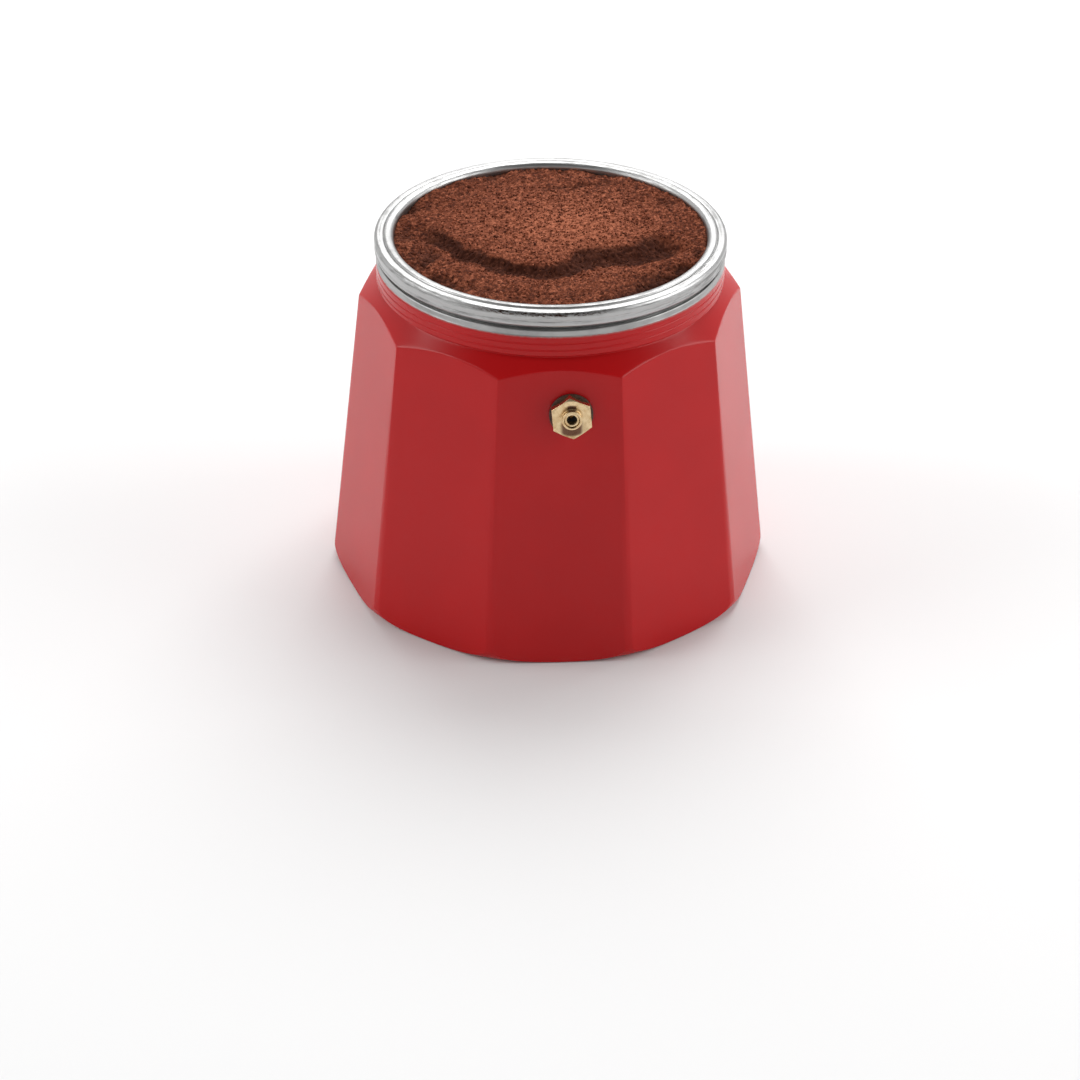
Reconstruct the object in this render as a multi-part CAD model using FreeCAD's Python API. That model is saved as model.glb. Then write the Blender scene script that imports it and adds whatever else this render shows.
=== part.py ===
import FreeCAD, Part
import math
import os

# Lower half of a ten-sided stove-top coffee maker, open for filling: the boiler, its safety valve, and the
# loose funnel with its filter disc and a full basket of ground coffee.
# Millimetres, +Z up. The origin is the middle of the base, on the surface that the boiler stands on.
# The facet that carries the safety valve faces -Y, so two of the ten corners lie on the X axis.

V = FreeCAD.Vector

# ---- boiler, outside -------------------------------------------------------------------------------
FACETS = 10
FLOOR_CORNER_R = 55.2        # corner radius of the ten-sided body where it would meet the floor
SHOULDER_CORNER_R = 46.55    # corner radius where the shoulder starts
SHOULDER_CORNER_Z = 73.9
PRISM_TOP_Z = 86.0           # the ten-sided cutter ends above the neck
FOOT_FLAT_R = 51.3           # the base is flat out to here
FOOT_ROUND = 3.2
FOOT_BEVEL = 20.0            # degrees of the round, from the flat base up, turned off as a bevel
BASE_RECESS_R = 42.0
BASE_RECESS = 0.8
SHOULDER_SLOPE = 0.81        # rise over run of the shoulder, just inside the corners
SHOULDER_TOP = (44.0, 75.9)
NECK_RELIEF = (41.4, 78.05)  # foot of the neck
THREAD_ROOT_R = 41.95
THREAD_CREST_R = 42.35
THREAD_START_Z = 78.5
THREAD_PITCH = 1.7
THREAD_TURNS = 3
LIP_R = 42.1                 # bare lip above the paint
LIP_Z = 85.2
LIP_CHAMFER = 0.3
OVERCUT = 1.0                # how far a cutter runs past the face that it cuts

# ---- boiler, inside --------------------------------------------------------------------------------
TANK_FLOOR_Z = 4.0
TANK_FLOOR_ROUND = 5.5
TANK_LOW_R = 48.5
TANK_HIGH = (41.3, 72.0)
MOUTH_R = 39.2
MOUTH_LOW_Z = 75.5

# ---- safety valve: w runs out of the facet along the valve's own axis, from the facet's plane --------
VALVE_X = 2.6
VALVE_Z = 65.0
BOSS_R = 7.5
BOSS_W = -5.2
WASHER_R = 5.3
WASHER_HOLE_R = 3.55
WASHER_THICK = 0.8
HEX_ACROSS_FLATS = 9.05
HEX_THICK = 2.4
HEX_TURN = 5.3               # degrees, anticlockwise seen from outside
HEX_CHAMFER_DROP = 0.55
HEX_FACE_INSET = 0.1         # the round face stops this far inside the flats
NIPPLE_R = 2.35
NIPPLE_LENGTH = 1.0
NIPPLE_BORE_R = 1.83
NIPPLE_EDGE = 0.2
SHANK_R = 3.5
SHANK_END_W = -6.8
SHANK_GROOVE = 0.35
SHANK_PITCH = 0.7
SHANK_GROOVES = 2
SHANK_FIRST_GROOVE = 0.6     # pitches from the shank's end
CHAMBER_R = 2.3
CHAMBER_TOP_W = 2.2
CAP_R = 2.6
CAP_TOP_W = -5.0
INLET_R = 1.1
CAP_SLOT_WIDTH = 0.8
CAP_SLOT_DEPTH = 0.6
SEAL_R = 1.9
SEAL_THICK = 0.6
SPIGOT_R = 0.6
PISTON_HEAD_R = 2.1
PISTON_HEAD_THICK = 0.8
PISTON_STEM_R = 1.35
SLEEVE_R = 1.75
SLEEVE_LOW_W = 1.4
SLEEVE_RECESS = 0.5          # the piston's end sits this far inside the nipple
SLEEVE_BORE_R = 1.2
SLEEVE_BORE_DEPTH = 2.1
VENT_R = 0.6
CROSS_HOLE_R = 0.5
CROSS_HOLE_W = -0.8
SPRING_WIRE_R = 0.16
SPRING_R = 2.01
SPRING_TURNS = 6

# ---- funnel ----------------------------------------------------------------------------------------
SHEET = 0.9
COLLAR_LOW_Z = 52.0
TUBE_R = 4.8
TUBE_BORE_R = 4.1
TUBE_LOW_Z = 8.0
TUBE_FLANGE_R = 6.0
TUBE_FLANGE_THICK = 0.6
TUBE_BEVEL = 0.3
FLANGE_SEAT_R = 6.4
FLANGE_SEAT_Z = 56.3
CONE_LOW_Z = 55.4
CONE_HIGH = (37.2, 65.4)
LEDGE_R = 35.6
LEDGE_Z = 66.2
CONE_INSIDE_HIGH_Z = 65.84
CUP_LOW_R = 36.9
CUP_TOP_R = 37.8
CUP_FOOT_RISE = 0.2          # the wall starts this far above the ledge outside
SEAT_ROUND_DROP = 0.3        # the wall turns into the rim this far below the boiler's lip
SEAT_INNER_R = 38.9
SEAT_OUTER_R = 41.0
BEAD_R = 42.55
BEAD_LOW_Z = 86.0
BEAD_ROUND = 1.05
RING_Z = 90.0                # flat ring that the upper pot's gasket presses on
RING_INNER_R = 40.45
GROOVE_R = 40.2
GROOVE_Z = 89.7
RIM_TOP_Z = 90.3
RIM_INNER_ROUND = 1.3

# ---- filter disc -----------------------------------------------------------------------------------
DISC_R = 36.8
DISC_THICK = 0.8
DISC_HOLE_R = 0.75
DISC_RING_STEP = 4.5
DISC_RINGS = 7

# ---- ground coffee ---------------------------------------------------------------------------------
COFFEE_GAP = 0.3             # to the wall of the cup
COFFEE_EDGE_Z = 88.3
COFFEE_TOP_Z = 91.5


def on_circle(centre, radius, degrees):
    """Point (r, z) on a circle in the profile plane."""
    angle = math.radians(degrees)
    return (centre[0] + radius * math.cos(angle), centre[1] + radius * math.sin(angle))


def bend(centre, radius, start_degrees, end_degrees):
    """Step of an outline that follows a circle: its middle point and its end point."""
    middle = on_circle(centre, radius, (start_degrees + end_degrees) / 2)
    return (middle, on_circle(centre, radius, end_degrees))


def spun(start, *steps):
    """Solid turned about Z from a closed outline of (r, z) points; a pair is an arc's middle and end."""
    edges = []
    here = V(start[0], 0, start[1])
    for step in steps + (start,):
        if isinstance(step[0], tuple):
            middle, end = (V(point[0], 0, point[1]) for point in step)
            edges.append(Part.Arc(here, middle, end).toShape())
        else:
            end = V(step[0], 0, step[1])
            edges.append(Part.LineSegment(here, end).toShape())
        here = end
    face = Part.Face(Part.Wire(edges))
    return face.revolve(V(0, 0, 0), V(0, 0, 1), 360)


def corner_radius(z):
    """Corner radius of the ten-sided body at height z."""
    lean = (FLOOR_CORNER_R - SHOULDER_CORNER_R) / SHOULDER_CORNER_Z
    return FLOOR_CORNER_R - lean * z


def facet_distance(z):
    """Distance of a facet's middle from the Z axis at height z."""
    return corner_radius(z) * math.cos(math.pi / FACETS)


def tapered_prism(z_low, z_high):
    """The ten flat facets between two heights, closed at both ends, with corners on the X axis."""
    turns = [2 * math.pi * k / FACETS for k in range(FACETS)]
    low, high = (
        [V(corner_radius(z) * math.cos(t), corner_radius(z) * math.sin(t), z) for t in turns]
        for z in (z_low, z_high)
    )
    loops = [low, high]
    for k in range(FACETS):
        after = (k + 1) % FACETS
        loops.append([low[k], low[after], high[after], high[k]])
    faces = [Part.Face(Part.makePolygon(loop + loop[:1])) for loop in loops]
    solid = Part.Solid(Part.Shell(faces))
    if solid.Volume < 0:
        solid.reverse()
    return solid


FACET_LEAN = math.degrees(math.atan2(facet_distance(0) - facet_distance(VALVE_Z), VALVE_Z))
VALVE_SEAT = FreeCAD.Placement(
    V(VALVE_X, -facet_distance(VALVE_Z), VALVE_Z),
    FreeCAD.Rotation(V(1, 0, 0), 90 - FACET_LEAN),
)


def on_valve_axis(shape):
    """Moves a shape made about Z onto the valve's axis, with z = 0 on the facet's plane."""
    moved = shape.copy()
    moved.Placement = VALVE_SEAT.multiply(shape.Placement)
    return moved


def rod(radius, w_low, w_high):
    """Plain cylinder about Z between two heights."""
    return Part.makeCylinder(radius, w_high - w_low, V(0, 0, w_low))


def thread_rings():
    """Steps of the neck's outline: one low rounded crest for each turn of the thread."""
    steps = []
    for turn in range(THREAD_TURNS):
        z = THREAD_START_Z + turn * THREAD_PITCH
        crest = (THREAD_CREST_R, z + THREAD_PITCH / 2)
        steps.append((crest, (THREAD_ROOT_R, z + THREAD_PITCH)))
    return steps


def make_boiler():
    """Cast boiler: a ten-sided pot with a round foot, shoulder, neck and inside, and a boss for the valve."""
    foot_centre = (FOOT_FLAT_R, FOOT_ROUND)
    foot_r = FOOT_FLAT_R + FOOT_ROUND
    skirt_top_z = SHOULDER_CORNER_Z - SHOULDER_SLOPE * (foot_r - SHOULDER_CORNER_R)
    floor_centre = (TANK_LOW_R - TANK_FLOOR_ROUND, TANK_FLOOR_Z + TANK_FLOOR_ROUND)
    thread_end_z = THREAD_START_Z + THREAD_TURNS * THREAD_PITCH
    turned = spun(
        (0, BASE_RECESS),
        (BASE_RECESS_R - BASE_RECESS, BASE_RECESS),
        (BASE_RECESS_R, 0),
        (FOOT_FLAT_R, 0),
        on_circle(foot_centre, FOOT_ROUND, FOOT_BEVEL - 90),
        bend(foot_centre, FOOT_ROUND, FOOT_BEVEL - 90, 0),
        (foot_r, skirt_top_z),
        (SHOULDER_CORNER_R, SHOULDER_CORNER_Z),
        SHOULDER_TOP,
        NECK_RELIEF,
        (THREAD_ROOT_R, THREAD_START_Z),
        *thread_rings(),
        (LIP_R, thread_end_z),
        (LIP_R, LIP_Z - LIP_CHAMFER),
        (LIP_R - LIP_CHAMFER, LIP_Z),
        (MOUTH_R, LIP_Z),
        (MOUTH_R, MOUTH_LOW_Z),
        TANK_HIGH,
        (TANK_LOW_R, TANK_FLOOR_Z + TANK_FLOOR_ROUND),
        bend(floor_centre, TANK_FLOOR_ROUND, 0, -90),
        (0, TANK_FLOOR_Z),
    )
    body = turned.common(tapered_prism(0, PRISM_TOP_Z))
    boss = on_valve_axis(rod(BOSS_R, BOSS_W, BOSS_W / 4))
    hole = on_valve_axis(rod(SHANK_R, 2 * BOSS_W, -BOSS_W))
    return body.fuse(boss).removeSplitter().cut(hole)


def hexagon_head(w_low):
    """Hexagonal head with its corners turned off by a shallow cone."""
    corner_r = HEX_ACROSS_FLATS / 2 / math.cos(math.pi / 6)
    corners = []
    for k in range(6):
        angle = math.radians(90 + HEX_TURN + 60 * k)
        corners.append(V(corner_r * math.cos(angle), corner_r * math.sin(angle), w_low))
    prism = Part.Face(Part.makePolygon(corners + corners[:1])).extrude(V(0, 0, HEX_THICK))
    w_high = w_low + HEX_THICK
    turned = spun(
        (0, w_low),
        (corner_r + OVERCUT, w_low),
        (corner_r + OVERCUT, w_high - HEX_CHAMFER_DROP),
        (corner_r, w_high - HEX_CHAMFER_DROP),
        (HEX_ACROSS_FLATS / 2 - HEX_FACE_INSET, w_high),
        (0, w_high),
    )
    return prism.common(turned)


def make_valve_body():
    """Brass body: hexagonal head, hollow nipple, threaded shank and the chamber for piston and spring."""
    head = hexagon_head(WASHER_THICK)
    face_w = WASHER_THICK + HEX_THICK
    tip_w = face_w + NIPPLE_LENGTH
    nipple = spun(
        (0, face_w - NIPPLE_EDGE),
        (NIPPLE_R, face_w - NIPPLE_EDGE),
        (NIPPLE_R, tip_w - NIPPLE_EDGE),
        bend((NIPPLE_R - NIPPLE_EDGE, tip_w - NIPPLE_EDGE), NIPPLE_EDGE, 0, 90),
        (0, tip_w),
    )
    solid = head.fuse([nipple, rod(SHANK_R, SHANK_END_W, WASHER_THICK)])
    solid = solid.cut(rod(NIPPLE_BORE_R, CHAMBER_TOP_W, tip_w + OVERCUT))
    solid = solid.cut(rod(CHAMBER_R, CAP_TOP_W, CHAMBER_TOP_W))
    solid = solid.cut(rod(CAP_R, SHANK_END_W - OVERCUT, CAP_TOP_W))
    for turn in range(SHANK_GROOVES):
        middle = SHANK_END_W + (turn + SHANK_FIRST_GROOVE) * SHANK_PITCH
        groove = spun(
            (SHANK_R - SHANK_GROOVE, middle),
            (SHANK_R + SHANK_GROOVE, middle - SHANK_PITCH),
            (SHANK_R + SHANK_GROOVE, middle + SHANK_PITCH),
        )
        solid = solid.cut(groove)
    return on_valve_axis(solid)


def make_valve_washer():
    """Flat sealing washer between the hexagonal head and the facet."""
    hole = rod(WASHER_HOLE_R, -OVERCUT, WASHER_THICK + OVERCUT)
    return on_valve_axis(rod(WASHER_R, 0, WASHER_THICK).cut(hole))


def make_valve_cap():
    """Slotted screw plug that closes the chamber and holds the inlet's seat."""
    plug = rod(CAP_R, SHANK_END_W, CAP_TOP_W)
    slot = Part.makeBox(
        4 * CAP_R, CAP_SLOT_WIDTH, CAP_SLOT_DEPTH, V(-2 * CAP_R, -CAP_SLOT_WIDTH / 2, SHANK_END_W)
    )
    inlet = rod(INLET_R, SHANK_END_W - OVERCUT, CAP_TOP_W + OVERCUT)
    return on_valve_axis(plug.cut(inlet).cut(slot))


def make_valve_seal():
    """Rubber ring under the piston's head, pressed on the inlet's seat."""
    seal_top_w = CAP_TOP_W + SEAL_THICK
    hole = rod(SPIGOT_R, CAP_TOP_W - OVERCUT, seal_top_w + OVERCUT)
    return on_valve_axis(rod(SEAL_R, CAP_TOP_W, seal_top_w).cut(hole))


def make_valve_piston():
    """Piston: spigot, head, slim stem, and a hollow sleeve that slides in the nipple and vents the steam."""
    head_low_w = CAP_TOP_W + SEAL_THICK
    head_top_w = head_low_w + PISTON_HEAD_THICK
    tip_w = WASHER_THICK + HEX_THICK + NIPPLE_LENGTH - SLEEVE_RECESS
    turned = spun(
        (0, CAP_TOP_W),
        (SPIGOT_R, CAP_TOP_W),
        (SPIGOT_R, head_low_w),
        (PISTON_HEAD_R, head_low_w),
        (PISTON_HEAD_R, head_top_w),
        (PISTON_STEM_R, head_top_w),
        (PISTON_STEM_R, SLEEVE_LOW_W),
        (SLEEVE_R, SLEEVE_LOW_W),
        (SLEEVE_R, tip_w),
        (SLEEVE_BORE_R, tip_w),
        (SLEEVE_BORE_R, tip_w - SLEEVE_BORE_DEPTH),
        (VENT_R, tip_w - SLEEVE_BORE_DEPTH),
        (VENT_R, CROSS_HOLE_W),
        (0, CROSS_HOLE_W),
    )
    cross = Part.makeCylinder(
        CROSS_HOLE_R, 4 * PISTON_STEM_R, V(-2 * PISTON_STEM_R, 0, CROSS_HOLE_W + CROSS_HOLE_R), V(1, 0, 0)
    )
    return on_valve_axis(turned.cut(cross))


def make_valve_spring():
    """Round-wire spring between the piston's head and the shoulder of the nipple."""
    low_w = CAP_TOP_W + SEAL_THICK + PISTON_HEAD_THICK + SPRING_WIRE_R
    height = CHAMBER_TOP_W - SPRING_WIRE_R - low_w
    helix = Part.makeHelix(height / SPRING_TURNS, height, SPRING_R)
    section = Part.Wire(Part.makeCircle(SPRING_WIRE_R, V(SPRING_R, 0, 0), V(0, 1, 0)))
    coil = Part.Wire(helix.Edges).makePipeShell([section], True, True)
    coil.translate(V(0, 0, low_w))
    return on_valve_axis(coil)


def make_funnel_cup():
    """Spun sheet cup: rolled rim that rests on the boiler, basket, ledge for the disc, cone and collar."""
    bead_centre_r = BEAD_R - BEAD_ROUND
    lip_round = RIM_TOP_Z - GROOVE_Z
    lip_inner_centre = (CUP_TOP_R + RIM_INNER_ROUND, RIM_TOP_Z - RIM_INNER_ROUND)
    return spun(
        (TUBE_R, COLLAR_LOW_Z),
        (TUBE_R + SHEET, COLLAR_LOW_Z),
        (TUBE_R + SHEET, CONE_LOW_Z),
        CONE_HIGH,
        (CUP_LOW_R + SHEET, LEDGE_Z + CUP_FOOT_RISE),
        (CUP_TOP_R + SHEET, LIP_Z - SEAT_ROUND_DROP),
        (SEAT_INNER_R, LIP_Z),
        (SEAT_OUTER_R, LIP_Z),
        (SEAT_OUTER_R, BEAD_LOW_Z),
        (bead_centre_r, BEAD_LOW_Z),
        bend((bead_centre_r, BEAD_LOW_Z + BEAD_ROUND), BEAD_ROUND, -90, 0),
        (BEAD_R, RING_Z - BEAD_ROUND),
        bend((bead_centre_r, RING_Z - BEAD_ROUND), BEAD_ROUND, 0, 90),
        (RING_INNER_R, RING_Z),
        (RING_INNER_R, GROOVE_Z),
        (GROOVE_R, GROOVE_Z),
        bend((GROOVE_R - lip_round, GROOVE_Z), lip_round, 0, 90),
        (lip_inner_centre[0], RIM_TOP_Z),
        bend(lip_inner_centre, RIM_INNER_ROUND, 90, 180),
        (CUP_LOW_R, LEDGE_Z),
        (LEDGE_R, LEDGE_Z),
        (LEDGE_R, CONE_INSIDE_HIGH_Z),
        (FLANGE_SEAT_R, FLANGE_SEAT_Z),
        (TUBE_R, FLANGE_SEAT_Z),
    )


def make_funnel_tube():
    """Riser tube with a flange that rests in the bottom of the cone; its lower end is bevelled inside."""
    flange_top_z = FLANGE_SEAT_Z + TUBE_FLANGE_THICK
    return spun(
        (TUBE_BORE_R + TUBE_BEVEL, TUBE_LOW_Z),
        (TUBE_R, TUBE_LOW_Z),
        (TUBE_R, FLANGE_SEAT_Z),
        (TUBE_FLANGE_R, FLANGE_SEAT_Z),
        (TUBE_FLANGE_R, flange_top_z),
        (TUBE_BORE_R, flange_top_z),
        (TUBE_BORE_R, TUBE_LOW_Z + TUBE_BEVEL),
    )


def make_filter_disc():
    """Flat disc with rings of round holes, six more holes in each ring than in the one inside it."""
    holes = [Part.Wire(Part.makeCircle(DISC_HOLE_R))]
    for ring in range(1, DISC_RINGS + 1):
        for k in range(6 * ring):
            angle = 2 * math.pi * k / (6 * ring)
            centre = V(ring * DISC_RING_STEP * math.cos(angle), ring * DISC_RING_STEP * math.sin(angle), 0)
            holes.append(Part.Wire(Part.makeCircle(DISC_HOLE_R, centre)))
    for hole in holes:
        hole.reverse()
    face = Part.Face([Part.Wire(Part.makeCircle(DISC_R))] + holes)
    disc = face.extrude(V(0, 0, DISC_THICK))
    disc.translate(V(0, 0, LEDGE_Z))
    return disc


def make_coffee():
    """Ground coffee: a full basket with a low mound, part of a sphere, standing clear of the cup's wall."""
    floor_z = LEDGE_Z + DISC_THICK
    draft = (CUP_TOP_R - CUP_LOW_R) / (RIM_TOP_Z - RIM_INNER_ROUND - LEDGE_Z)
    low_r = CUP_LOW_R + draft * (floor_z - LEDGE_Z) - COFFEE_GAP
    edge_r = CUP_LOW_R + draft * (COFFEE_EDGE_Z - LEDGE_Z) - COFFEE_GAP
    rise = COFFEE_TOP_Z - COFFEE_EDGE_Z
    mound_round = (edge_r ** 2 + rise ** 2) / (2 * rise)
    edge_angle = math.degrees(math.acos(edge_r / mound_round))
    mound = bend((0, COFFEE_TOP_Z - mound_round), mound_round, edge_angle, 90)
    return spun((0, floor_z), (low_r, floor_z), (edge_r, COFFEE_EDGE_Z), mound)


NODES = {
    "boiler": make_boiler,
    "valve_washer": make_valve_washer,
    "valve_body": make_valve_body,
    "valve_cap": make_valve_cap,
    "valve_seal": make_valve_seal,
    "valve_piston": make_valve_piston,
    "valve_spring": make_valve_spring,
    "funnel_cup": make_funnel_cup,
    "funnel_tube": make_funnel_tube,
    "filter_disc": make_filter_disc,
    "ground_coffee": make_coffee,
}

for node, make in NODES.items():
    made = make().Solids
    if len(made) != 1:
        raise ValueError(f"{node} came out as {len(made)} solids")
    made[0].exportStep(f"parts/{node}.step")
    print(f"{node}: {made[0].Volume:.1f} mm3, valid {made[0].isValid()}")
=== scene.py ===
import logging
import math
from collections.abc import Callable, Iterable
from dataclasses import dataclass, field
from enum import Enum
from itertools import combinations

import bpy
import numpy as np
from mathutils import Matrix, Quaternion, Vector


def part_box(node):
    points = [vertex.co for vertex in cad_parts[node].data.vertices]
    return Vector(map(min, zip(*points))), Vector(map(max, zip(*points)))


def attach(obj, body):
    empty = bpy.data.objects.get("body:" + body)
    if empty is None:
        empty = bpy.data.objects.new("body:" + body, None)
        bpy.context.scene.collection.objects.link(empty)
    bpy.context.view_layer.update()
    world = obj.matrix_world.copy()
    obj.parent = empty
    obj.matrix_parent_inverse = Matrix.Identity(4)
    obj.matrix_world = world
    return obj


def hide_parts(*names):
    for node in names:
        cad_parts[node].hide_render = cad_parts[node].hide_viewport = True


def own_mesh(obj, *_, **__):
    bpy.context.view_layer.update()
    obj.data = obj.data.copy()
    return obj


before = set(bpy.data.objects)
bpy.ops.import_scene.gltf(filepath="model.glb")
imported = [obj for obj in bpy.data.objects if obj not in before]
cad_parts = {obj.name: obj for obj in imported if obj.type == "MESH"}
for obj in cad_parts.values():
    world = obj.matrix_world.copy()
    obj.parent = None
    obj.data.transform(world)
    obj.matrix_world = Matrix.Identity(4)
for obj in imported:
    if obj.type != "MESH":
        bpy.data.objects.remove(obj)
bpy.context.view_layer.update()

# The lower half of a ten-sided stove-top coffee maker: lacquered boiler, brass safety valve, spun funnel and
# a basket full of ground coffee. Sizes are in millimetres, and a mesh gets its points in metres.

LOG = logging.getLogger("moka_pot_base")
MM = 0.001
FULL_TURN = 2 * math.pi
CREASE = 40.0
Point = tuple[float, float]
Span = tuple[float, float]
Colour = tuple[float, float, float]


class Body(Enum):
    """The moving bodies of the pot."""

    BOILER = "boiler"
    PISTON = "piston"
    FUNNEL = "funnel"
    COFFEE = "coffee"


class Slot(Enum):
    """Names of the material slots."""

    LACQUER = "red_lacquer"
    ALUMINIUM = "spun_aluminium"
    BRASS = "brass"
    WASHER = "fibre_washer"
    RUBBER = "seal_rubber"
    STEEL = "spring_steel"
    COFFEE = "coffee"


# ---- shapes ----------------------------------------------------------------------------------------


def smooth_step(value: np.ndarray, low: float, high: float) -> np.ndarray:
    """Rises from 0 at low to 1 at high as t * t * (3 - 2 t), t being the clipped share of the way.

    Args:
        value: Any array.
        low: Where the rise starts.
        high: Where it ends.

    Returns:
        An array of the same shape, from 0 to 1.
    """
    share = np.clip((value - low) / (high - low), 0.0, 1.0)
    return share * share * (3.0 - 2.0 * share)


@dataclass
class Skin:
    """A closed surface before it becomes a mesh: points in millimetres, and faces by point number."""

    points: np.ndarray
    quads: np.ndarray
    triangles: np.ndarray
    marks: dict[str, np.ndarray] = field(default_factory=dict)

    def volume(self) -> float:
        """Volume inside: the sum of a x (b x c) / 6 over the triangles, negative if inside out."""
        fans = [self.triangles, self.quads[:, [0, 1, 2]], self.quads[:, [0, 2, 3]]]
        a, b, c = (self.points[np.concatenate(fans)[:, k]] for k in range(3))
        return float(np.einsum("ij,ij->i", a, np.cross(b, c)).sum() / 6.0)

    def faced_outwards(self) -> "Skin":
        """Turns the skin over if its volume is negative.

        Returns:
            The same skin.
        """
        if self.volume() < 0:
            self.quads = self.quads[:, ::-1]
            self.triangles = self.triangles[:, ::-1]
        return self

    def placed(self, origin: np.ndarray, axes: np.ndarray) -> "Skin":
        """The skin carried into another frame: origin plus x, y and z times the three rows of axes."""
        self.points = origin + self.points @ axes
        return self


@dataclass
class Outline:
    """A closed outline in (r, z) that is carried round the axis, grown row by row.

    Each row holds one point for each direction round the axis, so an edge that rises and falls round a
    faceted body still lies on one row.
    """

    columns: int
    rows: list[np.ndarray] = field(default_factory=list)

    def spread(self, r: np.ndarray | float, z: np.ndarray | float) -> np.ndarray:
        """One (r, z) for each column, from numbers or from arrays with one value for each column."""
        return np.stack(np.broadcast_arrays(r, z, np.zeros(self.columns))[:2], axis=-1)

    def start(self, r: np.ndarray | float, z: np.ndarray | float) -> "Outline":
        """Puts the first row down."""
        self.rows.append(self.spread(r, z))
        return self

    def line(self, r: np.ndarray | float, z: np.ndarray | float, steps: int = 1) -> "Outline":
        """Runs straight from the last row to (r, z): last + (end - last) * t in equal steps of t.

        Args:
            r: Radius of the end.
            z: Height of the end.
            steps: Number of rows that it adds.

        Returns:
            The outline, so that calls can be chained.
        """
        last, end = self.rows[-1], self.spread(r, z)
        shares = np.linspace(0.0, 1.0, steps + 1)[1:]
        self.rows.extend(last + (end - last) * share for share in shares)
        return self

    def arc(
        self, centre: Point, radius: float, start: float, end: np.ndarray | float, steps: int
    ) -> "Outline":
        """Follows a circle in the (r, z) plane.

        Args:
            centre: Middle of the circle.
            radius: Its radius.
            start: First angle in degrees, 0 along +r and 90 along +z.
            end: Last angle, which may differ from column to column.
            steps: Number of rows that it adds after the first angle.

        Returns:
            The outline, so that calls can be chained.
        """
        for share in np.linspace(0.0, 1.0, steps + 1)[1:]:
            angle = np.radians(start + (np.asarray(end, float) - start) * share)
            self.rows.append(
                self.spread(centre[0] + radius * np.cos(angle), centre[1] + radius * np.sin(angle))
            )
        return self

    def corner(
        self,
        point: tuple[np.ndarray | float, np.ndarray | float],
        after: tuple[np.ndarray | float, np.ndarray | float],
        size: float,
        steps: int = 4,
        lead: int = 1,
    ) -> "Outline":
        """Runs to a corner and rounds it: (1 - t)^2 a + 2 t (1 - t) corner + t^2 b, a parabola.

        Args:
            point: The sharp corner (r, z).
            after: The next corner, which gives the direction out.
            size: How far before and after the corner the rounding starts and ends.
            steps: Rows in the rounding.
            lead: Rows in the straight run up to it.

        Returns:
            The outline, so that calls can be chained.
        """
        here, corner, ahead = self.rows[-1], self.spread(*point), self.spread(*after)
        back, forth = here - corner, ahead - corner
        reach_back = np.linalg.norm(back, axis=-1, keepdims=True)
        reach_forth = np.linalg.norm(forth, axis=-1, keepdims=True)
        a = corner + back / reach_back * np.minimum(size, 0.49 * reach_back)
        b = corner + forth / reach_forth * np.minimum(size, 0.49 * reach_forth)
        self.line(a[:, 0], a[:, 1], lead)
        for t in np.linspace(0.0, 1.0, steps + 1)[1:]:
            self.rows.append((1 - t) ** 2 * a + 2 * t * (1 - t) * corner + t * t * b)
        return self

    def skin(self, angles: np.ndarray, joined: bool) -> Skin:
        """Carries the outline round Z: x = r cos(angle), y = r sin(angle), z.

        Args:
            angles: Direction of each column in radians, rising once round.
            joined: True where the last row joins the first, as on a tube or cup. Otherwise the first and
                last rows lie on the axis, and each becomes one point.

        Returns:
            A closed skin that faces outwards, marked with the radius and height of each point.
        """
        grid = np.stack(self.rows)
        middle = grid if joined else grid[1:-1]
        rows, columns = middle.shape[:2]
        points = np.stack(
            [middle[..., 0] * np.cos(angles), middle[..., 0] * np.sin(angles), middle[..., 1]], axis=-1
        ).reshape(-1, 3)
        numbers = np.arange(rows * columns).reshape(rows, columns)
        ahead = np.roll(numbers, -1, axis=1)
        if joined:
            low, low_ahead = numbers, ahead
            high, high_ahead = np.roll(numbers, -1, axis=0), np.roll(ahead, -1, axis=0)
        else:
            low, low_ahead, high, high_ahead = numbers[:-1], ahead[:-1], numbers[1:], ahead[1:]
        quads = np.stack([low, low_ahead, high_ahead, high], axis=-1).reshape(-1, 4)
        triangles = np.zeros((0, 3), int)
        turned = np.concatenate([middle.reshape(-1, 2), np.zeros((rows * columns, 1))], axis=1)
        if not joined:
            first, last = len(points), len(points) + 1
            poles = np.array([[0.0, 0.0, grid[0, 0, 1]], [0.0, 0.0, grid[-1, 0, 1]]])
            points = np.concatenate([points, poles])
            turned = np.concatenate([turned, poles[:, [0, 2, 1]]])
            start_fan = np.stack([np.full(columns, first), ahead[0], numbers[0]], axis=-1)
            end_fan = np.stack([np.full(columns, last), numbers[-1], ahead[-1]], axis=-1)
            triangles = np.concatenate([start_fan, end_fan])
        return Skin(points, quads, triangles, {"turned": turned}).faced_outwards()


def even_angles(columns: int) -> np.ndarray:
    """Directions spread evenly once round, in radians."""
    return np.arange(columns) * (FULL_TURN / columns)


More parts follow.
